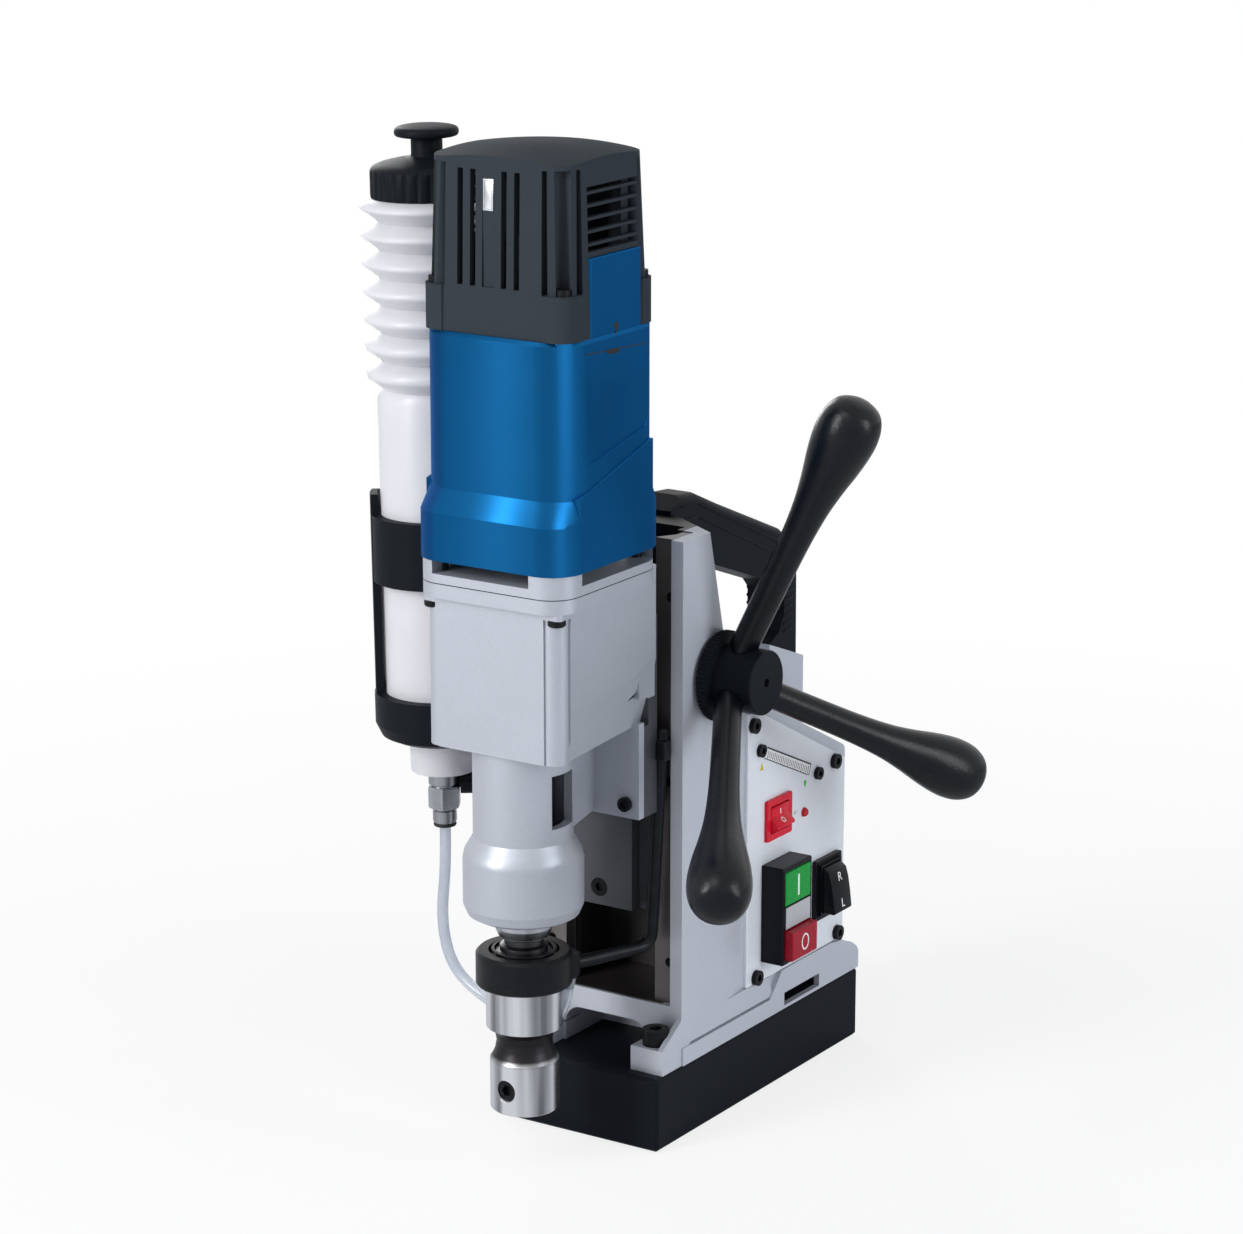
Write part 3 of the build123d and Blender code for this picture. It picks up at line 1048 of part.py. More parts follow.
# ---------------------------------------------------------------- layshafts
for name, (x, y), gear, gear_teeth, gear_z, pinion, pinion_teeth, pinion_z in (
    ("layshaft_one", LAY_1, LAY_1_GEAR, 32, (278, 286), LAY_1_PINION, 11, (261, 278)),
    ("layshaft_two", LAY_2, LAY_2_GEAR, 34, (262, 272), LAY_2_PINION, 12, (239, 262)),
):
    shaft = rod_z(x, y, FLOOR - 7.9, GEARBOX_SEAM + 2.4, LAY_PIN)
    shaft += toothed(gear, gear_teeth, 2.0, x, y, *gear_z)
    shaft += toothed(pinion, pinion_teeth, 1.6, x, y, *pinion_z)
    shaft += rod_z(x, y, FLOOR + 4.05, FLOOR + 7, 6.0)
    write(name, shaft)

# ---------------------------------------------------------------- spindle with its bearings
g = TAPER_GAP
taper_top = SPINDLE_NOSE_END + TAPER_LENGTH
spindle = turned(
    [
        (SPINDLE_NOSE_RADIUS - 1.6, SPINDLE_NOSE_END),
        (SPINDLE_NOSE_RADIUS, SPINDLE_NOSE_END + 4),
        (SPINDLE_NOSE_RADIUS, NOSE_BOTTOM + 1.0),
        (18.5, NOSE_BOTTOM + 1.0),
        (18.5, LOWER_BEARING[0] - 0.05),
        (SPINDLE_RADIUS, LOWER_BEARING[0] - 0.05),
        (SPINDLE_RADIUS, UPPER_BEARING[1] + 0.05),
        (17.0, UPPER_BEARING[1] + 0.05),
        (17.0, 242.0),
        (SPINDLE_RADIUS, 242.0),
        (SPINDLE_RADIUS, SPINDLE_TOP),
        (0, SPINDLE_TOP),
        (0, DRIFT_SLOT_BOTTOM + DRIFT_SLOT_HEIGHT + 4),
        (TAPER_SMALL_RADIUS + g, DRIFT_SLOT_BOTTOM + DRIFT_SLOT_HEIGHT + 4),
        (TAPER_SMALL_RADIUS + g, taper_top),
        (TAPER_BIG_RADIUS + g, SPINDLE_NOSE_END),
    ],
    y=SPINDLE_Y,
)
spindle += toothed(SPINDLE_GEAR, 26, 2.4, 0, SPINDLE_Y, 240, 256)
spindle -= block(
    -20, 20, SPINDLE_Y - DRIFT_SLOT_INNER_WIDTH / 2, SPINDLE_Y + DRIFT_SLOT_INNER_WIDTH / 2,
    DRIFT_SLOT_BOTTOM, DRIFT_SLOT_BOTTOM + DRIFT_SLOT_HEIGHT + 3
)
write("spindle", spindle)
bearings = []
for (z0, z1), outer in ((LOWER_BEARING, 23.5), (UPPER_BEARING, SEAT_RADIUS)):
    ring = rod_z(0, SPINDLE_Y, z0, z1, outer) - rod_z(0, SPINDLE_Y, z0, z1, SPINDLE_RADIUS + RUNNING_GAP)
    bearings.append(ring)
write("spindle_bearings", Compound(children=bearings))
seal = rod_z(0, SPINDLE_Y, NOSE_BOTTOM + 0.8, LOWER_BEARING[0], 23.5)
seal -= rod_z(0, SPINDLE_Y, NOSE_BOTTOM - 8, LOWER_BEARING[0] + 7, NECK_BORE)
write("nose_seal", seal)

# ---------------------------------------------------------------- arbor with cutter bore
RING_GROOVE = (100.0, 105.0)
arbor = turned(
    [
        (CUTTER_BORE / 2, ARBOR_BOTTOM),
        (ARBOR_COLLAR_RADIUS - 1.0, ARBOR_BOTTOM),
        (ARBOR_COLLAR_RADIUS, ARBOR_BOTTOM + 1.0),
        (ARBOR_COLLAR_RADIUS, 56.5),
        (15.6, 58.0),
        (14.2, 61.0),
        (ARBOR_WAIST_RADIUS, 65.5),
        (14.2, 69.6),
        (16.4, 72.2),
        (ARBOR_BAND_RADIUS, ARBOR_BAND_BOTTOM),
        (ARBOR_BAND_RADIUS, ARBOR_BAND_TOP - 0.6),
        (ARBOR_BAND_RADIUS - 0.6, ARBOR_BAND_TOP),
        (ARBOR_JOURNAL_RADIUS, ARBOR_BAND_TOP),
        (ARBOR_JOURNAL_RADIUS, RING_TOP - 0.5),
        (11.5, RING_TOP),
        (11.5, RING_TOP + 2.4),
        (9.4, RING_TOP + 3.4),
        (9.4, SPINDLE_NOSE_END - 2.0),
        (TAPER_BIG_RADIUS, SPINDLE_NOSE_END - 0.8),
        (TAPER_BIG_RADIUS, SPINDLE_NOSE_END),
        (TAPER_SMALL_RADIUS, taper_top),
        (7.0, taper_top + 1.0),
        (7.0, taper_top + 7.0),
        (0, taper_top + 7.0),
        (0, RING_GROOVE[1] - 0.5),
        (3.2, RING_GROOVE[1] - 0.5),
        (3.2, ARBOR_BOTTOM + CUTTER_BORE_DEPTH),
        (CUTTER_BORE / 2, ARBOR_BOTTOM + CUTTER_BORE_DEPTH),
    ],
    y=SPINDLE_Y,
)
arbor -= rod_y(0, (RING_GROOVE[0] + RING_GROOVE[1]) / 2, SPINDLE_Y - 15, SPINDLE_Y + 15, 1.6)
grub_screws = []
grub_inner = CUTTER_BORE / 2 + 0.4
grub_shape = rod_y(0, 0, -(ARBOR_COLLAR_RADIUS - 1.6), -grub_inner, GRUB_RADIUS)
hex_hole = Pos(0, -(ARBOR_COLLAR_RADIUS - 1.5), 0) * Rot(-90, 0, 0) * extrude(RegularPolygon(2.9, 6), amount=3)
grub_shape -= hex_hole
for turn in (0, -90):
    at = Pos(0, SPINDLE_Y, GRUB_Z) * Rot(0, 0, turn)
    arbor -= at * rod_y(0, 0, -20, -5, GRUB_RADIUS)
    arbor -= at * Pos(0, -ARBOR_COLLAR_RADIUS - 0.4, 0) * Rot(-90, 0, 0) * Cone(GRUB_RADIUS + 1.9, GRUB_RADIUS, 3)
    grub_screws.append(at * grub_shape)
write("arbor", arbor)
write("grub_screws", Compound(children=grub_screws))

# ---------------------------------------------------------------- coolant ring and its rod
ring = turned(
    [
        (RING_SEAL_BORE, ARBOR_BAND_TOP + 0.05),
        (16.6, ARBOR_BAND_TOP + 0.05),
        (16.6, RING_BOTTOM + 2.5),
        (RING_BORE, RING_BOTTOM + 2.5),
        (RING_BORE, RING_BOTTOM),
        (RING_RADIUS - 0.8, RING_BOTTOM),
        (RING_RADIUS, RING_BOTTOM + 0.8),
        (RING_RADIUS, RING_TOP - 1.5),
        (RING_RADIUS - 1.5, RING_TOP),
        (17.0, RING_TOP),
        (17.0, RING_TOP - 3.0),
        (RING_SEAL_BORE, RING_TOP - 3.0),
        (RING_SEAL_BORE, RING_GROOVE[1]),
        (16.0, RING_GROOVE[1]),
        (16.0, RING_GROOVE[0]),
        (RING_SEAL_BORE, RING_GROOVE[0]),
    ],
    y=SPINDLE_Y,
)
arm_dir = Vector(ROD_FOOT.X, ROD_FOOT.Y - SPINDLE_Y, 0).normalized()
arm_turn = math.degrees(math.atan2(arm_dir.Y, arm_dir.X))
BOSS_END = 30.0
BOSS_BOTTOM = 93.2
at_ring = Pos(0, SPINDLE_Y, 0) * Rot(0, 0, arm_turn)
boss = block(RING_RADIUS - 4.0, BOSS_END, -5.2, 5.2, BOSS_BOTTOM, 104.0)
boss = chamfer(boss.edges().filter_by(Axis.Z).group_by(Axis.X)[-1], 2.0)
boss -= block(10, RING_RADIUS - 3.0, -10, 10, BOSS_BOTTOM - 1, RING_BOTTOM + 0.01)
ring += at_ring * boss
ring -= at_ring * rod_x(0, ROD_FOOT.Z, RING_RADIUS + 1.5, 60, ROD_RADIUS)
PORT_REACH = 26.5
port = Vector(0, SPINDLE_Y, BOSS_BOTTOM - 1.2) + arm_dir * PORT_REACH

rod_start = Vector(0, SPINDLE_Y, ROD_FOOT.Z) + arm_dir * (RING_RADIUS + 1.5)
rod_path = FilletPolyline(rod_start, ROD_FOOT, ROD_HEAD, radius=7.0)
ring_rod = sweep(Plane(origin=rod_start, z_dir=arm_dir) * Circle(ROD_RADIUS), path=rod_path)
write("ring_rod", ring_rod)

# ---------------------------------------------------------------- coolant bottle on its bracket
at_bottle = Location((BOTTLE_X, BOTTLE_Y, BOTTLE_Z), (0, BOTTLE_LEAN, 0))
VALVE_TOP = 28.0
CUP_BOTTOM, CUP_TOP = 45.0, 69.0
BELLOWS_TOP_TIP = 305.5
BOTTLE_NECK_TOP = 320.0


def bottle_line(inset):
    points = [(16.0 - inset, VALVE_TOP + 3.0), (16.0 - inset, CUP_BOTTOM + 3.55 + inset * 0.9)]
    points += [(23.0 - inset, CUP_BOTTOM + 3.55 + inset * 0.9), (26.6 - inset, 56.5), (BOTTLE_RADIUS - inset, 58.0)]
    points.append((BOTTLE_RADIUS - inset, BELLOWS_TOP_TIP - 12.0 - BELLOWS_PITCH * (BELLOWS_COUNT - 1)))
    for i in reversed(range(BELLOWS_COUNT)):
        tip_z = BELLOWS_TOP_TIP - BELLOWS_PITCH * i
        tip = BELLOWS_RADIUS - 0.2 * i - inset
        lower = 0.5 * BELLOWS_PITCH
        upper = lower if i else 3.9
        points += [(BELLOWS_ROOT - inset, tip_z - lower), (tip - 1.4, tip_z - 3.0), (tip, tip_z - 1.6)]
        points += [(tip, tip_z + 1.6), (tip - 1.4, tip_z + min(3.0, upper - 1.0))]
    points.append((BELLOWS_ROOT - inset, BELLOWS_TOP_TIP + 3.9))
    return points


outer = [(0, VALVE_TOP)] + [(13.5, VALVE_TOP)] + bottle_line(0.0)
outer += [(BELLOWS_ROOT, BOTTLE_NECK_TOP), (0, BOTTLE_NECK_TOP)]
inner = [(0, VALVE_TOP + 6.0)] + [(14.0 - BOTTLE_WALL, VALVE_TOP + 6.0)]
inner += bottle_line(BOTTLE_WALL + 0.3)[1:]
inner += [(BELLOWS_ROOT - BOTTLE_WALL - 0.3, BOTTLE_NECK_TOP + 1), (0, BOTTLE_NECK_TOP + 1)]
SPIGOT_RADIUS = 5.0
bottle = turned(outer) - turned(inner) - rod_z(0, 0, VALVE_TOP - 1, VALVE_TOP + 8, SPIGOT_RADIUS)
write("coolant_bottle", at_bottle * bottle)

CAP_RIM_BOTTOM = 309.7
PUMP_SEAT = 338.0
PUMP_ROD = 4.0
bottle_cap = turned(
    [
        (BELLOWS_ROOT, CAP_RIM_BOTTOM),
        (BELLOWS_ROOT + 3.1, CAP_RIM_BOTTOM),
        (BELLOWS_ROOT + 3.1, 322.5),
        (BELLOWS_ROOT + 1.8, 324.3),
        (19.0, 326.6),
        (12.0, 327.9),
        (7.5, 328.3),
        (7.5, PUMP_SEAT - 0.1),
        (PUMP_ROD + RUNNING_GAP, PUMP_SEAT - 0.1),
        (PUMP_ROD + RUNNING_GAP, BOTTLE_NECK_TOP),
        (BELLOWS_ROOT, BOTTLE_NECK_TOP),
    ]
)
write("bottle_cap", at_bottle * bottle_cap)
pump = turned(
    [
        (0, PUMP_SEAT),
        (13.6, PUMP_SEAT),
        (15.3, PUMP_SEAT + 1.4),
        (15.3, PUMP_SEAT + 3.2),
        (13.0, PUMP_SEAT + 4.8),
        (7.0, PUMP_SEAT + 5.5),
        (0, PUMP_SEAT + 5.7),
    ]
)
pump += rod_z(0, 0, 270.0, PUMP_SEAT + 1, PUMP_ROD) + rod_z(0, 0, 262.0, 271.0, 9.0)
write("pump_knob", at_bottle * pump)

# bracket: cup below, band above, strap between them and plate on the gearbox
BAND_BOTTOM, BAND_TOP, BAND_RADIUS = 125.0, 157.5, 31.6
cup = turned(
    [
        (17.0, CUP_BOTTOM),
        (24.0, CUP_BOTTOM + 0.4),
        (29.6, CUP_BOTTOM + 3.0),
        (32.4, CUP_BOTTOM + 9.0),
        (32.4, CUP_TOP),
        (BOTTLE_RADIUS + 0.05, CUP_TOP),
        (BOTTLE_RADIUS + 0.05, CUP_BOTTOM + 11.8),
        (24.0, CUP_BOTTOM + 3.5),
        (17.0, CUP_BOTTOM + 3.5),
    ]
)
band = rod_z(0, 0, BAND_BOTTOM, BAND_TOP, BAND_RADIUS)
bracket = cup + band
strap = rod_z(0, 0, CUP_TOP - 12, BAND_TOP + 10, 31.9) - rod_z(0, 0, 50, 180, 28.2)
strap = strap & Rot(0, 0, 213) * block(20, 40, -7, 7, CUP_TOP - 12, BAND_TOP + 10)
bracket += strap
bracket -= rod_z(0, 0, CUP_TOP - 5, BAND_TOP + 20, BOTTLE_RADIUS + 0.05)
bracket = at_bottle * bracket
plate = block(-BAND_RADIUS - 14.0, -GEARBOX_HALF_WIDTH, -124, -92, 202, 284)
plate -= at_bottle * rod_z(0, 0, 40, 180, 30.0)
bracket += plate
write("bottle_bracket", bracket)

# ---------------------------------------------------------------- valve, knob and hose
valve = rod_z(0, 0, 8, VALVE_TOP, 7.6) + rod_z(0, 0, 2, 8, 5.5) + rod_z(0, 0, 0, 2.01, 5.2)
valve += rod_z(0, 0, VALVE_TOP - 1, VALVE_TOP + 7, SPIGOT_RADIUS)
NIPPLE_RADIUS, NIPPLE_LENGTH = HOSE_BORE - 0.05, 8.0
valve += rod_z(0, 0, -NIPPLE_LENGTH, 0.5, NIPPLE_RADIUS)
KNOB_TURN = math.degrees(math.atan2(0.546, 0.838))
KNOB_Z = 22.0
STEM = 3.0
at_knob = Rot(0, 0, KNOB_TURN)
valve -= at_knob * rod_x(0, KNOB_Z, 2.4, 10, STEM + RUNNING_GAP)
valve -= rod_z(0, 0, KNOB_Z + 4, VALVE_TOP + 10, 1.8) + rod_z(0, 0, -10, KNOB_Z - 4, 1.0)
knob = at_knob * (rod_x(0, KNOB_Z, 8.2, 16.0, 6.0) + rod_x(0, KNOB_Z, 3.0, 9.0, STEM))
for i in range(8):
    knob -= at_knob * Pos(0, 0, KNOB_Z) * Rot(22.5 + i * 45, 0, 0) * Pos(0, 6.6, 0) * rod_x(0, 0, 7, 17, 1.2)
write("valve_body", at_bottle * valve)
write("valve_knob", at_bottle * knob)

hose_start = Vector(*(at_bottle * Pos(0, 0, 0)).position)
down = Vector(math.sin(math.radians(-BOTTLE_LEAN)), 0, -math.cos(math.radians(BOTTLE_LEAN)))
rise = Vector(4.1, -1.0, 22.5).normalized()
hose_route = [
    hose_start,
    hose_start + down * 20.0,
    Vector(-75.8, -107.0, 100.0),
    Vector(-69.0, -107.5, 76.0),
    Vector(-45.0, -109.5, 63.5),
    Vector(-14.0, -114.5, 60.5),
    port - rise * 22.9,
    port,
]
nipple_frame = Plane(origin=port, z_dir=rise * -1)
ring += nipple_frame * rod_z(0, 0, -3, NIPPLE_LENGTH - 1, NIPPLE_RADIUS)
ring += nipple_frame * rod_z(0, 0, -3, 0, HOSE_RADIUS + 0.8)
ring -= turned(
    [(0, 80), (RING_SEAL_BORE, 80), (RING_SEAL_BORE, 120), (0, 120)], y=SPINDLE_Y
)
write("coolant_ring", ring)

LIMP_RADIUS = 3 * 2 * HOSE_RADIUS
radii = []
for before, corner, after in zip(hose_route, hose_route[1:], hose_route[2:]):
    run_in, run_out = corner - before, after - corner
    turn = math.radians(run_in.get_angle(run_out))
    shorter = min(run_in.length, run_out.length)
    radii.append(0.45 * shorter / math.tan(turn / 2))
print("hose radii", [round(r, 1) for r in radii], "least allowed", LIMP_RADIUS)
print("hose runs", [round((b - a).length, 1) for a, b in zip(hose_route, hose_route[1:])])
print("hose points", [tuple(round(c, 2) for c in p) for p in hose_route])
hose_path = FilletPolyline(*hose_route, radius=radii)
section = Plane(origin=hose_route[0], z_dir=hose_route[1] - hose_route[0]) * (
    Circle(HOSE_RADIUS) - Circle(HOSE_BORE)
)
hose = sweep(section, path=hose_path)
ideal = math.pi * (HOSE_RADIUS**2 - HOSE_BORE**2) * hose_path.length
print("hose length", round(hose_path.length, 1), "volume share", round(hose.volume / ideal, 4))
write("coolant_hose", hose)
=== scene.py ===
import json
import math

import bmesh
import bpy
from mathutils import Matrix, Vector


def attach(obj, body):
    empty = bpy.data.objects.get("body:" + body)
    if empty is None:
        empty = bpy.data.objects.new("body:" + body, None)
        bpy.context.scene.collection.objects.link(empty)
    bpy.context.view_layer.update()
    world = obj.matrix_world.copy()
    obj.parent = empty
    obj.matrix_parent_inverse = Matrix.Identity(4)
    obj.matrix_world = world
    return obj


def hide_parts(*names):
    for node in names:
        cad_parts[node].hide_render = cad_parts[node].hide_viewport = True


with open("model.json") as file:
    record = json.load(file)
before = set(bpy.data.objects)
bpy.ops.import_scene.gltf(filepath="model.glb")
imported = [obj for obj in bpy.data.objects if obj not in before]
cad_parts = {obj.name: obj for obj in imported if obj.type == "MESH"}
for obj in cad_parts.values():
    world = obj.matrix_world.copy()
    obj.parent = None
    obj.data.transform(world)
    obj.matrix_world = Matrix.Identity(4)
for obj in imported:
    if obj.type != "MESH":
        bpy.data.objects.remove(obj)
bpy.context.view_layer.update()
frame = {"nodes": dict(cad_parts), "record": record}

NODES = frame["nodes"]
MM = 0.001


def mm(*values):
    """Point given in millimetres, in metres."""
    return Vector([v * MM for v in values])


def new_object(name, data):
    """Object linked into the scene."""
    thing = bpy.data.objects.new(name, data)
    bpy.context.scene.collection.objects.link(thing)
    return thing


# ---------------- camera
CAMERA_AT = Vector((1.01522, -1.61920, 0.74606))
CAMERA_TURN = math.radians(33.0686)
CAMERA_DIP = math.radians(14.7796)
lens = bpy.data.cameras.new("camera")
lens.sensor_fit = "HORIZONTAL"
lens.sensor_width = 36.0
lens.lens = 115.22
lens.clip_start, lens.clip_end = 0.05, 30.0
camera = new_object("camera", lens)
camera.location = CAMERA_AT
camera.rotation_euler = (math.pi / 2 - CAMERA_DIP, 0.0, CAMERA_TURN)
bpy.context.scene.camera = camera
bpy.context.scene.view_settings.view_transform = "Standard"

# ---------------- coolant hose
HOSE_POINTS = [
    (-72.6, -107.0, 150.0), (-72.24, -107.0, 130.0), (-75.8, -107.0, 100.0),
    (-69.0, -107.5, 76.0), (-45.0, -109.5, 63.5), (-14.0, -114.5, 60.5),
    (6.05, -119.52, 69.49), (10.15, -120.52, 92.0),
]
HOSE_RADIUS = 2.8
hose_curve = bpy.data.curves.new("coolant_tube", "CURVE")
hose_curve.dimensions = "3D"
hose_curve.bevel_depth = 1.0  # times each knot's own radius
hose_curve.bevel_resolution = 6
hose_curve.resolution_u = 12
hose_line = hose_curve.splines.new("NURBS")
hose_line.points.add(len(HOSE_POINTS) - 1)
for knot, point in zip(hose_line.points, HOSE_POINTS):
    knot.co = (*mm(*point), 1.0)
    knot.radius = HOSE_RADIUS * MM
hose_line.order_u = 3
hose_line.use_endpoint_u = True
hose = new_object("coolant_tube", hose_curve)
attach(hose, "carriage")
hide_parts("coolant_hose")
tuple(mm(*HOSE_POINTS[0]))


# ---------------- shader expressions
class Flow:
    """A value in a material; sums and products of it add their own Math nodes."""

    def __init__(self, finish, socket):
        self.finish, self.socket = finish, socket

    def maths(self, operation, *values):
        return self.finish.node(
            "ShaderNodeMath", {"operation": operation}, dict(enumerate(values))
        )

    def __add__(self, other):
        return self.maths("ADD", self, other)

    def __sub__(self, other):
        return self.maths("SUBTRACT", self, other)

    def __mul__(self, other):
        return self.maths("MULTIPLY", self, other)

    __radd__, __rmul__ = __add__, __mul__


class Finish:
    """A material under construction, with one Principled shader."""

    def __init__(self, name, color, roughness, metallic=0.0, **sockets):
        self.material = bpy.data.materials.new(name)
        self.material.use_nodes = True
        self.nodes = self.material.node_tree.nodes
        self.links = self.material.node_tree.links
        self.shader = self.nodes["Principled BSDF"]
        values = {"Base Color": (*color, 1.0), "Roughness": roughness, "Metallic": metallic}
        values.update(sockets)
        for socket, value in values.items():
            self.put(self.shader.inputs[socket], value)
        self.place = self.node("ShaderNodeTexCoord", out="Object")

    def put(self, socket, value):
        """Link a Flow to a socket, or set the socket's constant."""
        if isinstance(value, Flow):
            self.links.new(value.socket, socket)
        else:
            socket.default_value = value

    def node(self, kind, settings=None, inputs=None, out=0):
        """Add a node; "stops" are the (position, grey) pairs of a color ramp."""
        node = self.nodes.new(kind)
        for key, value in (settings or {}).items():
            if key == "stops":
                ramp = node.color_ramp.elements
                while len(ramp) < len(value):
                    ramp.new(0.5)
                for element, (position, grey) in zip(ramp, value):
                    element.position = position
                    element.color = (grey, grey, grey, 1)
            else:
                setattr(node, key, value)
        for key, value in (inputs or {}).items():
            self.put(node.inputs[key], value)
        return Flow(self, node.outputs[out])

    def axis(self, letter):
        """One coordinate of the place, in metres."""
        return self.node("ShaderNodeSeparateXYZ", inputs={0: self.place}, out=letter)

    def noise(self, scale, detail=3.0, roughness=0.55, stretch=None):
        """Noise of a scale per metre, or stretched by a scale for each axis."""
        where = self.place
        if stretch:
            where = self.node("ShaderNodeMapping", inputs={"Vector": where, "Scale": stretch})
        inputs = {"Vector": where, "Scale": scale, "Detail": detail, "Roughness": roughness}
        return self.node("ShaderNodeTexNoise", inputs=inputs, out="Fac")

    def grains(self, scale):
        """Small pits of a scale per metre."""
        inputs = {"Vector": self.place, "Scale": scale}
        return self.node("ShaderNodeTexVoronoi", inputs=inputs, out="Distance")

    def ramp(self, value, *stops):
        """Grey for a value, from (position, grey) pairs."""
        return self.node("ShaderNodeValToRGB", {"stops": stops}, {"Fac": value}, out="Color")

    def tint(self, share, first, second):
        """Mix of two colors."""
        return self.node(
            "ShaderNodeMix", {"data_type": "RGBA"}, {0: share, 6: first, 7: second}, out=2
        )

    def set(self, socket, value):
        """Give the shader's own socket a value."""
        self.put(self.shader.inputs[socket], value)

    def relief(self, height, strength, depth):
        """Close the material with a bump of the height, and return it."""
        inputs = {"Height": height, "Strength": strength, "Distance": depth}
        self.set("Normal", self.node("ShaderNodeBump", inputs=inputs, out="Normal"))
        return self.material

    def flake_glints(self):
        """Fine flakes of a metallic paint, painted lighter as fixed glints."""
        return self.ramp(self.noise(2600.0, 1.0), (0.45, 0.0), (0.72, 1.0))

    def orange_peel(self):
        """Close the material with the soft dimples of sprayed paint."""
        return self.relief(self.noise(900.0, 2.0) + 0.5 * self.noise(220.0, 2.0), 0.16, 0.00012)

    def lathe_rings(self, axis=2):
        """Fine rings round an axis."""
        stretch = [6.0, 6.0, 6.0]
        stretch[axis] = 2600.0
        return self.noise(1.0, 4.0, 0.65, stretch=tuple(stretch))

    def painted_reflection_streaks(self, axis=2, full=0.62):
        """Bands along an axis, painted into colour as reflections of the studio."""
        stretch = [85.0, 85.0, 85.0]
        stretch[axis] = 3.0
        return self.ramp(self.noise(1.0, 2.0, stretch=tuple(stretch)), (0.38, 0.0), (full, 1.0))


def shade(color, factor):
    """Color made darker or lighter, with its alpha."""
    return (*[min(1.0, c * factor) for c in color[:3]], 1.0)


def powder_coat(name, color, metallic, roughness):
    """Silver paint over a casting: fine metal flakes painted lighter as glints, slow drift of tone,
    soft orange peel.
    """
    f = Finish(name, color, roughness, metallic, **{"Specular IOR Level": 0.35})
    tone = f.tint(f.noise(14.0), shade(color, 0.93), shade(color, 1.05))
    # the flakes are painted lighter and stand in for their glints
    f.set("Base Color", f.tint(f.flake_glints() * 0.35, tone, shade(color, 1.35)))
    f.set("Roughness", roughness - 0.08 + 0.16 * f.noise(180.0, 2.0))
    return f.orange_peel()


def moulded(name, color, roughness, grain, strength, specular=0.25):
    """Spark-eroded moulding: even fine grain, slightly uneven sheen."""
    f = Finish(name, color, roughness, 0.0, **{"Specular IOR Level": specular})
    f.set("Base Color", f.tint(f.noise(9.0), shade(color, 0.88), shade(color, 1.14)))
    f.set("Roughness", roughness - 0.07 + 0.14 * f.noise(60.0))
    return f.relief(f.noise(grain, 2.0) + 0.4 * f.grains(grain * 0.7), strength, 0.00010)


def bowed_shell(name, color, roughness, specular):
    """Painted moulding whose flat front reads as a gentle barrel across its width."""
    sockets = {"Specular IOR Level": specular, "Specular Tint": (0.10, 0.42, 0.90, 1)}
    f = Finish(name, color, roughness, 0.72, **sockets)
    across = f.axis("X")
    f.set("Base Color", f.tint(f.noise(9.0), shade(color, 0.90), shade(color, 1.12)))
    f.set("Roughness", roughness - 0.06 + 0.12 * f.noise(60.0))
    barrel = 6.5 * across * across  # height in metres
    return f.relief(0.000012 * f.noise(1700.0, 2.0) - barrel, 1.0, 1.0)


def turned_steel(name, color, roughness, axis=2):
    """Steel off the lathe: fine rings round one axis, and lighter and darker bands along it painted
    as reflections.
    """
    f = Finish(name, color, roughness, 1.0)
    rings = f.lathe_rings(axis)
    reflection_streaks = f.painted_reflection_streaks(axis)
    # the rings are real turning marks; the bands along the axis are painted reflections
    tone = 0.4 * rings + 0.6 * reflection_streaks
    f.set("Base Color", f.tint(tone, shade(color, 0.62), shade(color, 1.25)))
    f.set("Roughness", roughness - 0.06 + 0.10 * rings + 0.10 * reflection_streaks)
    return f.relief(rings, 0.22, 0.00006)


PER_DECIMETRE = 10.0  # turns metres into the 0 to 1 of a color ramp


def zoned_steel():
    """Arbor: bright turned band and collar with painted reflections, a dark oxide waist between
    them, and painted shade on the shank above 96 mm, inside the coolant ring.
    """
    f = Finish("arbor_steel", (0.5, 0.5, 0.5), 0.24, 1.0)
    rings = f.lathe_rings()
    # dark zones: the oxide waist from about 58 to 72 mm, and painted shade above 96 mm where the
    # shank sits inside the coolant ring
    oxide_and_shade_zones = f.ramp(
        f.axis("Z") * PER_DECIMETRE,
        (0.555, 0.0), (0.585, 1.0), (0.722, 1.0), (0.728, 0.0), (0.950, 0.0), (0.960, 0.9),
    )
    # bands along the arbor are painted into the bright steel as reflections, from near black to
    # near white
    streaks = f.painted_reflection_streaks(full=0.60)
    tone = 0.25 * rings + 0.75 * streaks
    bright = f.tint(tone, (0.08, 0.085, 0.095, 1), (0.74, 0.755, 0.78, 1))
    dark = f.tint(rings, (0.012, 0.011, 0.013, 1), (0.035, 0.033, 0.036, 1))
    f.set("Base Color", f.tint(oxide_and_shade_zones, bright, dark))
    f.set("Roughness", 0.20 + 0.10 * rings + 0.14 * oxide_and_shade_zones)
    return f.relief(rings, 0.22, 0.00006)


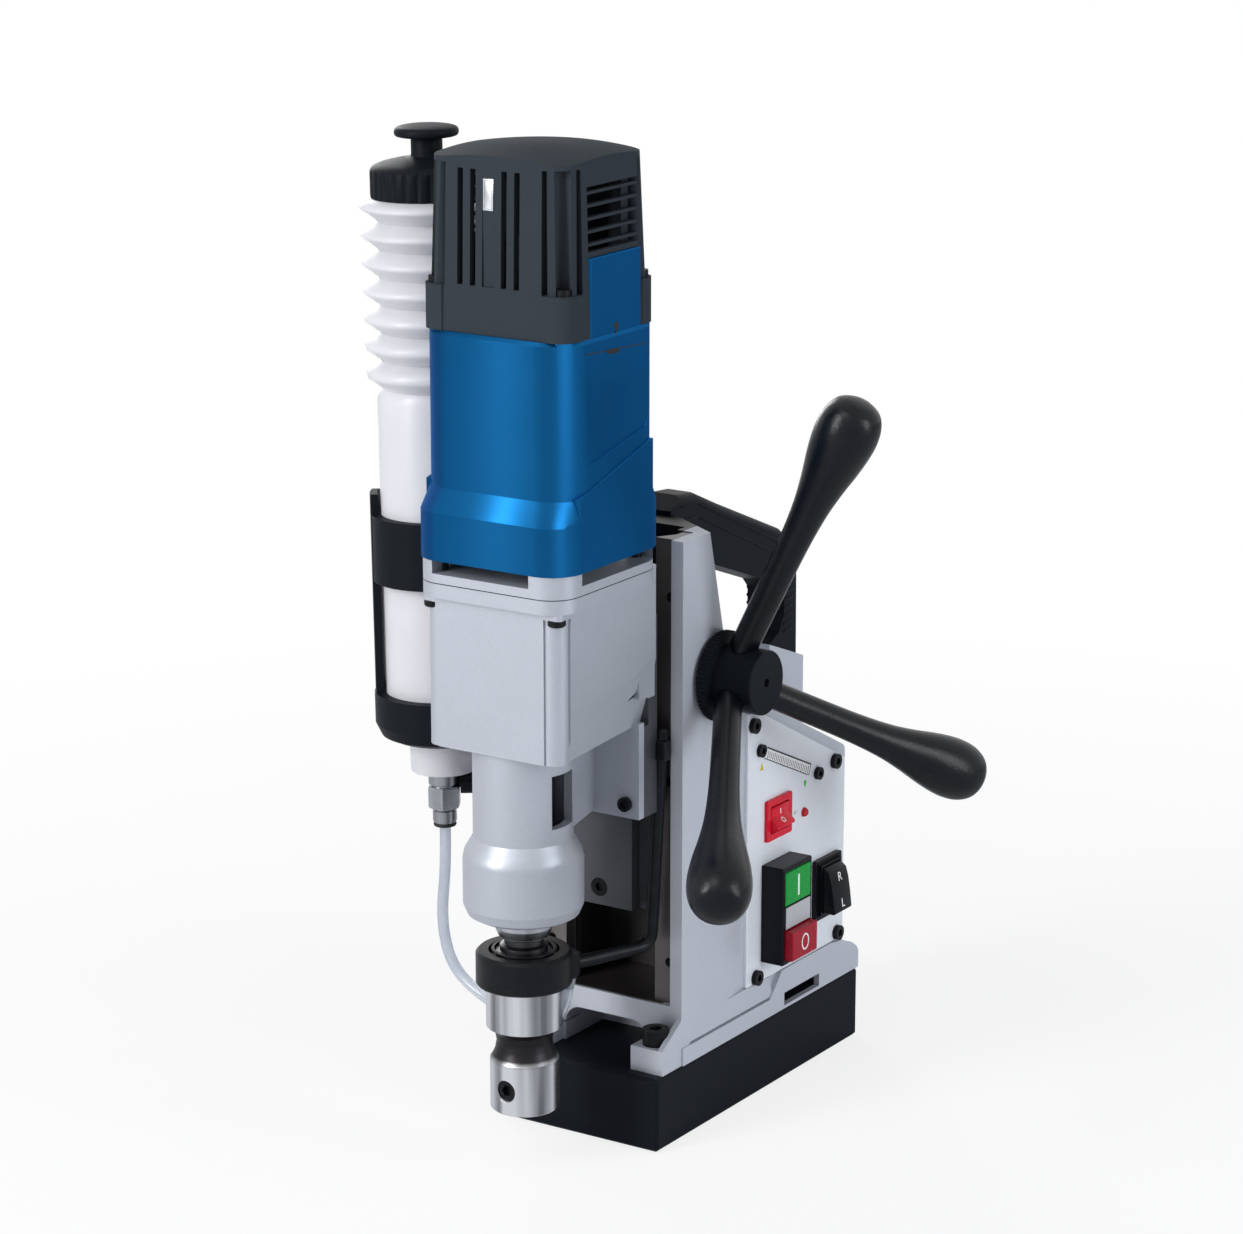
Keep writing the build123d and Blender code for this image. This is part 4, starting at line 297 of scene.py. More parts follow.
def cast_with_shaded_channel():
    """Silver casting whose slide channel is painted dark, as the shade inside that recess."""
    f = Finish("silver_casting", SILVER, 0.42, 0.25, **{"Specular IOR Level": 0.35})
    across, along, height = [f.axis(letter) * PER_DECIMETRE for letter in "XYZ"]
    sides = f.ramp(across + 0.5, (0.182, 0.0), (0.186, 1.0), (0.814, 1.0), (0.818, 0.0))
    depth = f.ramp(along + 1.0, (0.270, 0.0), (0.285, 1.0), (0.72, 1.0), (0.73, 0.0))
    channel = sides * depth * f.ramp(height, (0.570, 0.0), (0.578, 1.0))
    tone = f.tint(f.noise(14.0), shade(SILVER, 0.92), shade(SILVER, 1.06))
    # the flakes are painted lighter and stand in for their glints
    paint = f.tint(f.flake_glints() * 0.30, tone, shade(SILVER, 1.3))
    # painted shade inside the slide channel, with a little random tone
    channel_shade = f.tint(f.noise(36.0, 4.0), (0.010, 0.009, 0.010, 1), (0.040, 0.034, 0.032, 1))
    f.set("Base Color", f.tint(channel, paint, channel_shade))
    f.set("Roughness", 0.34 + 0.16 * f.noise(180.0, 2.0))
    return f.orange_peel()


def milled_steel(name, color, roughness, stretch=(40.0, 40.0, 900.0), metallic=1.0):
    """Ground or milled steel: straight fine lines and soft stains."""
    f = Finish(name, color, roughness, metallic)
    lines = f.noise(1.0, 3.0, 0.6, stretch=stretch)
    stains = f.noise(30.0, 4.0)
    tone = 0.5 * lines + 0.5 * stains
    f.set("Base Color", f.tint(tone, shade(color, 0.78), shade(color, 1.12)))
    f.set("Roughness", roughness - 0.08 + 0.18 * stains)
    return f.relief(lines, 0.18, 0.00006)


def black_oxide(name):
    """Blackened steel, worn a little lighter in places."""
    color = (0.010, 0.011, 0.013)
    f = Finish(name, color, 0.34, 0.35, **{"Specular IOR Level": 0.12})
    worn = f.ramp(f.noise(160.0, 4.0), (0.52, 0.0), (0.80, 1.0))
    f.set("Base Color", f.tint(worn * 0.4, shade(color, 1.0), shade(color, 2.6)))
    f.set("Roughness", 0.29 + 0.16 * f.noise(90.0))
    return f.relief(f.noise(1200.0, 2.0), 0.12, 0.00008)


def glossy_plastic(name, color, roughness, coat=0.25):
    """Polished moulding with a thin coat."""
    sockets = {"Coat Weight": coat, "Coat Roughness": 0.12, "Specular IOR Level": 0.12}
    f = Finish(name, color, roughness, 0.0, **sockets)
    f.set("Base Color", f.tint(f.noise(40.0, 2.0), shade(color, 0.92), shade(color, 1.08)))
    f.set("Roughness", roughness - 0.04 + 0.10 * f.noise(300.0, 2.0))
    return f.relief(f.noise(700.0, 1.0), 0.05, 0.00006)


def milky_plastic():
    """Blow-moulded bottle: milky and a little see-through."""
    color = (0.77, 0.77, 0.80)
    sockets = {
        "Transmission Weight": 0.28, "IOR": 1.45, "Subsurface Weight": 0.25,
        "Subsurface Radius": (0.02, 0.02, 0.02), "Subsurface Scale": 0.05,
    }
    f = Finish("milky_bottle", color, 0.36, 0.0, **sockets)
    f.set("Base Color", f.tint(f.noise(26.0), shade(color, 0.95), shade(color, 1.08)))
    f.set("Roughness", 0.28 + 0.16 * f.noise(90.0))
    return f.relief(f.noise(300.0), 0.10, 0.00015)


def clear_tube():
    """Soft clear tube, a little hazy."""
    color = (0.64, 0.68, 0.75)
    f = Finish("clear_tube", color, 0.16, 0.0, **{"Transmission Weight": 0.65, "IOR": 1.38})
    f.set("Base Color", f.tint(f.noise(60.0, 2.0), shade(color, 0.93), shade(color, 1.08)))
    f.set("Roughness", 0.10 + 0.14 * f.noise(200.0, 2.0))
    return f.relief(f.noise(500.0, 2.0), 0.06, 0.0001)


SILVER = (0.50, 0.523, 0.58)
BLUE = (0.006, 0.092, 0.240)
BLACK = (0.006, 0.008, 0.011)

silver_casting = cast_with_shaded_channel()
silver_gearbox = powder_coat("silver_gearbox", (0.40, 0.421, 0.470), 0.42, 0.42)
silver_panel = powder_coat("silver_panel", (0.74, 0.765, 0.82), 0.10, 0.46)
blue_shell = bowed_shell("blue_shell", BLUE, 0.34, 0.10)
black_moulding = moulded("black_moulding", BLACK, 0.46, 1300.0, 0.35, 0.06)
# a lighter copy of the black plastic, painted light for the front light falling on the motor cap
cap_moulding = moulded("cap_moulding", (0.034, 0.041, 0.049), 0.52, 1500.0, 0.30, 0.01)
black_grip = moulded("black_grip", (0.003, 0.004, 0.006), 0.30, 700.0, 0.90, 0.20)
black_magnet = moulded("black_magnet_paint", (0.006, 0.008, 0.011), 0.42, 600.0, 0.22, 0.06)
bright_turned = turned_steel("bright_turned_steel", (0.36, 0.375, 0.405), 0.22)
arbor_turned = zoned_steel()
valve_nickel = turned_steel("valve_nickel", (0.36, 0.375, 0.40), 0.32)
bright_foil = milled_steel("bare_foil", (0.62, 0.63, 0.66), 0.25, (300.0, 60.0, 60.0))
feed_turned = turned_steel("turned_feed_shaft", (0.66, 0.68, 0.71), 0.28, axis=0)
# the slide's steel is made much darker, as painted shade for the shadow it sits in
slide_steel = milled_steel("ground_slide", (0.062, 0.066, 0.075), 0.40, metallic=0.40)
rail_steel = milled_steel("greased_rail", (0.15, 0.135, 0.13), 0.34, metallic=0.6)
black_steel = black_oxide("black_oxide")
zinc_steel = turned_steel("zinc_screws", (0.58, 0.60, 0.63), 0.30)
red_button_plastic = glossy_plastic("red_button", (0.34, 0.006, 0.020), 0.26, 0.08)
red_rocker_plastic = glossy_plastic("red_rocker", (0.66, 0.010, 0.030), 0.26, 0.08)
green_button_plastic = glossy_plastic("green_button", (0.003, 0.30, 0.040), 0.26, 0.08)
black_gloss = glossy_plastic("black_switch", (0.004, 0.005, 0.007), 0.32, 0.03)
lamp_red = glossy_plastic("lamp_red", (0.55, 0.010, 0.020), 0.12)
print_white, print_black, print_yellow, print_green = [
    moulded(name, color, 0.45, 900.0, 0.05)
    for name, color in (
        ("white_print", (0.86, 0.86, 0.86)), ("black_print", (0.012, 0.012, 0.014)),
        ("yellow_print", (0.62, 0.50, 0.01)), ("green_print", (0.05, 0.50, 0.06)),
    )
]
print_grey = moulded("grey_strip", (0.45, 0.46, 0.48), 0.40, 900.0, 0.10)
iron_stack = milled_steel("iron_stack", (0.20, 0.20, 0.22), 0.40, (30.0, 30.0, 3000.0), 0.9)
potting = moulded("brown_potting", (0.030, 0.014, 0.008), 0.35, 500.0, 0.3)
board_green = moulded("circuit_board_green", (0.010, 0.10, 0.03), 0.35, 800.0, 0.2)
bottle_milk = milky_plastic()
tube_clear = clear_tube()
rubber = moulded("rubber_seal", (0.012, 0.012, 0.013), 0.60, 1100.0, 0.3)

hose_curve.materials.append(tube_clear)

NODE_FINISH = {
    "magnet_body": black_magnet, "magnet_coil": potting, "foot_screws": black_steel,
    "column_casting": silver_casting, "guide_rail": rail_steel, "gib_strip": rail_steel,
    "column_screws": black_steel, "control_panel": silver_panel, "panel_screws": black_steel,
    "feed_window": print_white, "status_led": lamp_red, "rocker_bezel": red_rocker_plastic,
    "direction_bezel": black_gloss, "switch_housing": black_gloss, "circuit_board": board_green,
    "cable_gland": black_moulding, "carry_handle": black_moulding, "handle_screws": black_steel,
    "shaft_bushes": feed_turned, "carriage_slide": slide_steel, "feed_rack": rail_steel,
    "carriage_screws": black_steel,
    "gearbox_housing": silver_gearbox, "gearbox_cover": silver_gearbox,
    "motor_housing": blue_shell, "motor_screws": black_steel, "motor_stator": iron_stack,
    "motor_cap": cap_moulding, "brush_covers": blue_shell, "armature_bearings": zinc_steel,
    "brushes": black_moulding, "spindle_bearings": zinc_steel, "nose_seal": rubber,
    "coolant_ring": black_steel, "ring_rod": black_steel, "coolant_bottle": bottle_milk,
    "bottle_cap": black_moulding, "bottle_bracket": black_moulding, "valve_body": valve_nickel,
    "coolant_hose": tube_clear, "pinion_shaft": feed_turned, "shaft_end_cap": black_moulding,
    "grip_up": black_grip, "grip_rear": black_grip, "grip_front": black_grip,
    "spoke_rods": feed_turned, "feed_hub": black_moulding, "feed_flange": black_moulding,
    "spindle": bright_turned, "arbor": arbor_turned, "grub_screws": black_steel,
    "armature": iron_stack, "layshaft_one": bright_turned, "layshaft_two": bright_turned,
    "magnet_rocker": red_rocker_plastic, "direction_rocker": black_gloss,
    "start_button": green_button_plastic, "stop_button": red_button_plastic,
    "pump_knob": black_moulding, "valve_knob": black_moulding,
}
for node, finish in NODE_FINISH.items():
    data = NODES[node].data
    data.materials.clear()
    data.materials.append(finish)


# ---------------- studio
SOFT_LIGHT = ((0.86, 0.91, 1.0, 1), 0.26)
WHITE_BACKDROP = ((1, 1, 1, 1), 1.0)


def studio_world():
    """White where it is seen or mirrored, a soft light on everything else."""
    world = bpy.data.worlds.new("studio")
    bpy.context.scene.world = world
    world.use_nodes = True
    nodes, links = world.node_tree.nodes, world.node_tree.links
    nodes.clear()
    path = nodes.new("ShaderNodeLightPath")
    seen = path.outputs["Is Camera Ray"]
    for kind in ("Is Glossy Ray", "Is Transmission Ray"):
        either = nodes.new("ShaderNodeMath")
        either.operation = "MAXIMUM"
        links.new(seen, either.inputs[0])
        links.new(path.outputs[kind], either.inputs[1])
        seen = either.outputs[0]
    mix = nodes.new("ShaderNodeMixShader")
    links.new(seen, mix.inputs[0])
    for slot, (color, strength) in enumerate((SOFT_LIGHT, WHITE_BACKDROP), 1):
        background = nodes.new("ShaderNodeBackground")
        background.inputs["Color"].default_value = color
        background.inputs["Strength"].default_value = strength
        links.new(background.outputs[0], mix.inputs[slot])
    links.new(mix.outputs[0], nodes.new("ShaderNodeOutputWorld").inputs[0])


MIDDLE = Vector((0.0, -0.05, 0.25))


def softbox(name, at, size, power, color=(1, 1, 1)):
    """Rectangular light aimed at the middle of the object."""
    light = bpy.data.lights.new(name, "AREA")
    light.shape = "RECTANGLE"
    light.size, light.size_y = size
    light.energy = power
    light.color = color
    lamp = new_object(name, light)
    lamp.location = at
    lamp.rotation_euler = (MIDDLE - Vector(at)).to_track_quat("-Z", "Y").to_euler()


studio_world()
softbox("key", (-0.85, -2.2, 1.2), (0.6, 1.5), 46)
softbox("fill", (2.1, 0.1, 0.8), (0.7, 1.4), 22, (0.92, 0.96, 1.0))
softbox("top", (0.1, -1.3, 1.9), (0.9, 0.9), 8)
softbox("rim", (-1.6, 1.2, 0.9), (0.6, 1.4), 12)


def white_floor():
    """Pale floor that fades to white away from the object, as the camera sees it."""
    f = Finish("pale_floor", (0.86, 0.86, 0.87), 0.9)
    seen = f.node("ShaderNodeLightPath", out="Is Camera Ray")
    glow = f.node("ShaderNodeEmission", inputs={"Color": (1, 1, 1, 1), "Strength": 1.0})
    far = f.node("ShaderNodeVectorMath", {"operation": "LENGTH"}, {0: f.place}, out="Value")
    share = f.ramp(far * 0.5, (0.12, 0.80), (0.45, 1.0))
    mix = f.node("ShaderNodeMixShader", inputs={0: seen * share})
    f.links.new(f.shader.outputs[0], mix.socket.node.inputs[1])
    f.links.new(glow.socket, mix.socket.node.inputs[2])
    f.links.new(mix.socket, f.nodes["Material Output"].inputs[0])
    return f.material


FLOOR_REACH, FLOOR_DROP = 6, 0.0005
floor_mesh = bpy.data.meshes.new("floor")
floor_mesh.from_pydata(
    [(x * FLOOR_REACH, y * FLOOR_REACH, 0) for x, y in ((-1, -1), (1, -1), (1, 1), (-1, 1))],
    [], [(0, 1, 2, 3)],
)
floor_mesh.materials.append(white_floor())
floor = new_object("floor", floor_mesh)
floor.location.z = -FLOOR_DROP


# ---------------- mesh helpers
def add_piece(name, bm, body, finish, smooth=35.0, replaced=()):
    """Turn a built mesh into a piece that rides on a body."""
    bmesh.ops.recalc_face_normals(bm, faces=bm.faces)
    mesh = bpy.data.meshes.new(name)
    bm.to_mesh(mesh)
    bm.free()
    mesh.polygons.foreach_set("use_smooth", [True] * len(mesh.polygons))
    mesh.set_sharp_from_angle(angle=math.radians(smooth))
    mesh.materials.append(finish)
    piece = new_object(name, mesh)
    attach(piece, body)
    if replaced:
        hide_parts(*replaced)
    return piece


def axis_frame(origin, z_dir, x_dir=None):
    """Matrix in metres whose z runs along z_dir from a point in millimetres."""
    z = Vector(z_dir).normalized()
    x = Vector(x_dir) if x_dir else z.orthogonal()
    x = (x - x.project(z)).normalized()
    turn = Matrix((x, z.cross(x), z)).transposed().to_4x4()
    return Matrix.Translation(mm(*origin)) @ turn @ Matrix.Scale(MM, 4)


def lathe(bm, profile, place, steps, wave=None):
    """Closed turned shape: (radius, height) from axis to axis, or a closed loop."""
    rings = []
    loop = profile[0][0] > 0 or profile[-1][0] > 0
    for radius, height in profile:
        if radius <= 1e-6:
            rings.append([bm.verts.new(place @ Vector((0, 0, height)))])
            continue
        ring = []
        for i in range(steps):
            a = 2 * math.pi * i / steps
            r = radius + (wave(a, radius, height) if wave else 0.0)
            point = Vector((r * math.cos(a), r * math.sin(a), height))
            ring.append(bm.verts.new(place @ point))
        rings.append(ring)
    pairs = list(zip(rings, rings[1:]))
    if loop:
        pairs.append((rings[-1], rings[0]))
    for low, high in pairs:
        for i in range(steps):
            j = (i + 1) % steps
            if len(low) == 1 and len(high) > 1:
                bm.faces.new((low[0], high[j], high[i]))
            elif len(high) == 1 and len(low) > 1:
                bm.faces.new((low[i], low[j], high[0]))
            elif len(low) > 1:
                bm.faces.new((low[i], low[j], high[j], high[i]))


def smooth_line(points, steps):
    """Catmull-Rom line through the points, for turned profiles without flats."""
    line = []
    ends = [points[0]] + list(points) + [points[-1]]
    for a, b, c, d in zip(ends, ends[1:], ends[2:], ends[3:]):
        for k in range(steps):
            t = k / steps
            line.append(tuple(
                0.5 * (2 * b[i] + (c[i] - a[i]) * t
                       + (2 * a[i] - 5 * b[i] + 4 * c[i] - d[i]) * t * t
                       + (3 * b[i] - a[i] - 3 * c[i] + d[i]) * t ** 3)
                for i in range(2)
            ))
    line.append(tuple(points[-1]))
    return line


def stamp(bm, outline, place, thickness=0.15, base=-0.05, hole=None):
    """Flat shape of an outline in the frame's xy plane, with an optional matching hole."""
    def ring(points, z):
        return [bm.verts.new(place @ Vector((x, y, z))) for x, y in points]

    top, low = ring(outline, thickness), ring(outline, base)
    n = len(outline)
    for i in range(n):
        bm.faces.new((low[i], low[(i + 1) % n], top[(i + 1) % n], top[i]))
    if hole is None:
        bm.faces.new(top)
        bm.faces.new(low)
        return
    top_in, low_in = ring(hole, thickness), ring(hole, base)
    for i in range(n):
        j = (i + 1) % n
        bm.faces.new((low_in[i], top_in[i], top_in[j], low_in[j]))
        bm.faces.new((top[i], top[j], top_in[j], top_in[i]))
        bm.faces.new((low[i], low_in[i], low_in[j], low[j]))


def bar(width, height, x=0.0, y=0.0):
    """Rectangle outline about a middle."""
    corners = ((-1, -1), (1, -1), (1, 1), (-1, 1))
    return [(x + sx * width / 2, y + sy * height / 2) for sx, sy in corners]


def circle(radius, steps=48):
    """Regular outline about the origin; six steps make a hexagon."""
    turns = [2 * math.pi * i / steps for i in range(steps)]
    return [(radius * math.cos(a), radius * math.sin(a)) for a in turns]


def soft_block(bm, place, size, edge, segments=3):
    """Block centred on the frame with rounded edges."""
    made = bmesh.ops.create_cube(bm, size=1.0, matrix=place @ Matrix.Diagonal((*size, 1.0)))
    edges = list({e for v in made["verts"] for e in v.link_edges})
    bmesh.ops.bevel(
        bm, geom=edges, offset=edge * MM, segments=segments, affect="EDGES", profile=0.5
    )


def on_side(y, z, x, turn=0.0):
    """Frame on the switch side: z out of the panel, x to the rear, y up."""
    flat = axis_frame((x, y, z), (1, 0, 0), (0, 1, 0))
    return flat @ Matrix.Rotation(math.radians(turn), 4, "Z")


# ---------------- feed grips
FEED_AXIS = (0.0, -43.0, 229.0)
SPOKE_ROOT_X, SPOKE_SPLAY = 51.0, math.radians(26.3)
GRIP_LINE = [
    (6.8, 17.0), (7.0, 50.0), (7.4, 78.0), (8.6, 98.0), (10.6, 112.0), (13.4, 126.0),
    (14.9, 136.0), (15.2, 143.3), (14.2, 150.0), (11.4, 155.6), (6.6, 158.6),
]
for node, angle in (("grip_up", 90), ("grip_rear", -30), ("grip_front", -150)):
    a = math.radians(angle)
    along = (
        math.sin(SPOKE_SPLAY),
        math.cos(SPOKE_SPLAY) * math.cos(a),
        math.cos(SPOKE_SPLAY) * math.sin(a),
    )
    place = axis_frame((SPOKE_ROOT_X, FEED_AXIS[1], FEED_AXIS[2]), along)
    bm = bmesh.new()
    grip_outline = [(0.0, 17.0)] + smooth_line(GRIP_LINE, 5) + [(3.0, 159.3), (0.0, 159.4)]
    lathe(bm, grip_outline, place, 72)
    add_piece(node + "_moulding", bm, "feed", black_grip, 50.0, (node,))

# ---------------- bottle cap and pump knob
BOTTLE_FOOT, BOTTLE_LEAN = (-72.6, -107.0, 150.0), math.radians(-1.04)
BOTTLE = axis_frame(BOTTLE_FOOT, (math.sin(BOTTLE_LEAN), 0, math.cos(BOTTLE_LEAN)), (1, 0, 0))
FLUTES, FLUTE_DEPTH = 28, 0.75
RIM_RADIUS, RIM_FOOT, RIM_TOP = 26.9, 310.0, 322.8


def fluted(a, radius, height):
    """Grooves round the rim of the bottle's cap."""
    if radius < RIM_RADIUS or not RIM_FOOT < height < RIM_TOP:
        return 0.0
    return -FLUTE_DEPTH * (0.5 + 0.5 * math.cos(FLUTES * a)) ** 3


bm = bmesh.new()
CAP_LINE = [
    (24.25, 309.7), (27.1, 309.7), (27.3, 310.3), (27.3, 322.0), (26.9, 323.2), (25.8, 324.4),
    (22.0, 325.9), (16.0, 327.3), (11.0, 328.0), (8.6, 328.3), (7.7, 329.0), (7.5, 330.2),
    (7.5, 336.6), (7.0, 337.8), (4.1, 337.9), (4.1, 320.1), (24.25, 320.1),
]
lathe(bm, CAP_LINE, BOTTLE, FLUTES * 8, fluted)
add_piece("bottle_lid", bm, "carriage", black_moulding, 32.0, ("bottle_cap",))

bm = bmesh.new()
KNOB_LINE = [
    (13.4, 338.05), (14.6, 338.4), (15.2, 339.3), (15.3, 340.6), (14.9, 341.7), (13.6, 342.6),
    (10.0, 343.3), (5.0, 343.65),
]
PISTON_LINE = [(0, 262.0), (9.0, 262.0), (9.0, 271.0), (4.0, 271.0), (4.0, 338.0)]
lathe(bm, PISTON_LINE + smooth_line(KNOB_LINE, 4) + [(0, 343.7)], BOTTLE, 72)
add_piece("pump_button", bm, "pump", black_moulding, 40.0, ("pump_knob",))

# ---------------- bottle
BELLOWS_TIP, BELLOWS_STEP, BELLOWS_COUNT = 305.5, 13.3, 7


def bottle_skin():
    """Outside of the bottle from its neck below to its mouth at the top."""
    line = [
        (13.4, 28.1), (15.6, 28.6), (16.0, 30.5), (16.0, 46.5), (17.0, 48.4), (22.5, 48.7),
        (25.0, 52.0), (26.6, 56.8), (26.8, 60.0),
    ]
    line.append((26.8, BELLOWS_TIP - BELLOWS_STEP * (BELLOWS_COUNT - 1) - 13.0))
    for i in reversed(range(BELLOWS_COUNT)):
        z = BELLOWS_TIP - BELLOWS_STEP * i
        tip = 32.6 - 0.2 * i
        if i == BELLOWS_COUNT - 1:
            line.append((25.6, z - 8.6))
        line += [
            (24.4, z - 7.0), (25.2, z - 6.0), (28.0, z - 3.6), (31.2, z - 1.4),
            (tip, z - 0.3), (tip, z + 0.6), (31.0, z + 2.2), (28.5, z + 4.4),
        ]
        if i:
            line += [(25.3, z + 6.0), (24.4, z + 6.9)]
    line += [(24.7, BELLOWS_TIP + 3.8), (24.2, BELLOWS_TIP + 5.0), (24.2, 319.5)]
    return line


BOTTLE_WALL, BOTTLE_FLOOR = 1.6, 34.0
skin = bottle_skin()
inner_skin = [(r - BOTTLE_WALL, max(z, BOTTLE_FLOOR)) for r, z in reversed(skin) if z > 31.0]
bm = bmesh.new()
bottle_line = [(5.05, 28.1)] + skin + [(22.6, 319.5)] + inner_skin[1:] + [(5.05, BOTTLE_FLOOR)]
lathe(bm, bottle_line, BOTTLE, 96)
add_piece("bottle_blow_moulding", bm, "carriage", bottle_milk, 60.0, ("coolant_bottle",))

# ---------------- castings and mouldings with broken edges
RECORD = frame["record"]
BODIES = RECORD["behaviour"]["bodies"]
BODY_OF = {node: body for body, nodes in BODIES.items() for node in nodes}


def evaluated(thing):
    """Mesh of an object with its modifiers applied."""
    bpy.context.view_layer.update()
    depsgraph = bpy.context.evaluated_depsgraph_get()
    return bpy.data.meshes.new_from_object(thing.evaluated_get(depsgraph))


def taken_from(name, data):
    """Mesh of a curve or letter, without keeping its object."""
    drawn = new_object(name + "_drawn", data)
    mesh = evaluated(drawn)
    bpy.data.objects.remove(drawn)
    return mesh


# merging the faces of these would close their openings
KEEP_TRIANGLES = ("switch_housing", "direction_bezel", "motor_cap")


BROKEN_ANGLE, FLAT_ANGLE = math.radians(24.0), math.radians(0.4)


def softened(node, width, crisp=21.0):
    """Copy of a node with its sharp edges broken by a small rounding."""
    bm = bmesh.new()
    bm.from_mesh(NODES[node].data)
    bmesh.ops.remove_doubles(bm, verts=bm.verts, dist=2e-6)
    if node not in KEEP_TRIANGLES:
        bmesh.ops.dissolve_limit(
            bm, angle_limit=FLAT_ANGLE, verts=bm.verts, edges=bm.edges, delimit={"NORMAL"}
        )
    mesh = bpy.data.meshes.new(node + "_soft")
    bm.to_mesh(mesh)
    bm.free()
    raw = new_object(node + "_raw", mesh)
    rounding = raw.modifiers.new("broken_edges", "BEVEL")
    rounding.width = width * MM
    rounding.segments = 2
    rounding.limit_method = "ANGLE"
    rounding.angle_limit = BROKEN_ANGLE
    rounding.use_clamp_overlap = True
    rounding.miter_outer = "MITER_ARC"
    cut = evaluated(raw)
    bpy.data.objects.remove(raw)
    cut.polygons.foreach_set("use_smooth", [True] * len(cut.polygons))
    cut.set_sharp_from_angle(angle=math.radians(crisp))
    cut.materials.clear()
    cut.materials.append(NODE_FINISH[node])
    piece = new_object(node + "_soft", cut)
    flats = piece.modifiers.new("flat_faces", "WEIGHTED_NORMAL")
    flats.keep_sharp = True
    flats.weight = 90
    piece.data = evaluated(piece)
    piece.modifiers.clear()
    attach(piece, BODY_OF[node])
    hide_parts(node)


for node, width in (
    ("magnet_body", 0.9), ("column_casting", 0.8), ("control_panel", 0.35), ("switch_housing", 1.0),
    ("rocker_bezel", 0.5), ("direction_bezel", 0.7), ("start_button", 0.6), ("stop_button", 1.0),
    ("carry_handle", 1.0), ("carriage_slide", 0.4), ("gearbox_cover", 0.5),
    ("motor_housing", 1.0), ("motor_cap", 0.7), ("brush_covers", 0.5), ("coolant_ring", 0.4),
    ("bottle_bracket", 0.7), ("arbor", 0.35), ("feed_hub", 0.4), ("feed_window", 0.3),
):
    softened(node, width)
softened("gearbox_housing", 0.5, crisp=12.0)

# ---------------- switches
PANEL_X = 44.0


def wedge(name, at, half_width, outline, body, finish, node, edge):
    """Rocker cut from a side outline of (up, out) points, across the panel's Y."""
    bm = bmesh.new()
    sides = []
    for y in (-half_width, half_width):
        points = [mm(PANEL_X + out, at[0] + y, at[1] + up) for up, out in outline]
        sides.append([bm.verts.new(point) for point in points])
    n = len(outline)
    for i in range(n):
        bm.faces.new((sides[0][i], sides[0][(i + 1) % n], sides[1][(i + 1) % n], sides[1][i]))
    bm.faces.new(sides[0])
    bm.faces.new(sides[1])
    bmesh.ops.recalc_face_normals(bm, faces=bm.faces)
    sharp = [e for e in bm.edges if len(e.link_faces) == 2 and e.calc_face_angle(0) > 0.5]
    bmesh.ops.bevel(
        bm, geom=sharp, offset=edge * MM, segments=3, affect="EDGES", profile=0.5,
        clamp_overlap=True,
    )
    add_piece(name, bm, body, finish, 30.0, (node,))


MAGNET_SWITCH = (15.0, 141.8)
wedge(
    "magnet_switch_rocker", MAGNET_SWITCH, 8.4,
    [(-6.0, -5.0), (6.0, -5.0), (6.4, 1.4), (5.9, 2.2), (0.8, 1.9), (-2.6, 5.6), (-3.9, 5.9),
     (-6.4, 2.2)],
    "magnet_rocker", red_rocker_plastic, "magnet_rocker", 0.45,
)
DIRECTION_SWITCH = (63.3, 92.0)
wedge(
    "direction_switch_rocker", DIRECTION_SWITCH, 8.7,
    [(-11.4, -4.0), (11.4, -4.0), (11.9, 4.6), (9.6, 7.9), (4.5, 9.4), (-3.0, 10.6), (-11.4, 11.6),
     (-12.3, 10.6), (-12.0, 3.0)],
    "direction_rocker", black_gloss, "direction_rocker", 0.9,
)
# stepped collar round the direction rocker
COLLAR_FOOT = 2.2
bm = bmesh.new()
for reach, out in ((1.9, 3.0), (1.0, 4.2)):
    outer = bar(18.4 + 2 * reach, 25.2 + 2 * reach)
    flat = on_side(*DIRECTION_SWITCH, PANEL_X + COLLAR_FOOT)
    stamp(bm, outer, flat, out - COLLAR_FOOT, 0.0, bar(18.1, 25.0))
add_piece("direction_collar", bm, "base", black_gloss)


def print_mark(name, shapes, at, x, body, finish, turn=0.0, lean=0.0, thickness=0.10):
    """Printed or inlaid marks on the switch side; lean tips them about their level line."""
    place = on_side(at[0], at[1], x, turn) @ Matrix.Rotation(math.radians(lean), 4, "X")
    bm = bmesh.new()
    for shape in shapes:
        outline, hole = shape if isinstance(shape, tuple) else (shape, None)
        stamp(bm, outline, place, thickness, -0.15, hole)
    add_piece(name, bm, body, finish, 30.0)


START_MIDDLE, START_FACE = (14.5, 108.6), 57.4
STOP_MIDDLE, STOP_FACE = (14.5, 79.3), 61.6
oval = [(x, 1.25 * y) for x, y in circle(3.5)]
oval_in = [(x, 1.30 * y) for x, y in circle(2.7)]
print_mark(
    "start_mark", [bar(1.5, 11.0)], START_MIDDLE, START_FACE, "start_button", print_white
)
print_mark(
    "stop_mark", [(oval, oval_in)], STOP_MIDDLE, STOP_FACE, "stop_button", print_white
)
print_mark(
    "switch_strip", [bar(23.4, 11.2)], (14.5, 93.45), 57.0, "base", print_grey,
    thickness=0.35,
)
print_mark(
    "magnet_on_mark", [bar(0.7, 2.9)], (15.0, 145.2), PANEL_X + 2.12, "magnet_rocker",
    print_white, lean=-4.2,
)
print_mark(
    "magnet_off_mark", [(circle(1.55), circle(1.05))], (15.0, 140.9), PANEL_X + 3.78,
    "magnet_rocker", print_white, lean=-47.4,
)


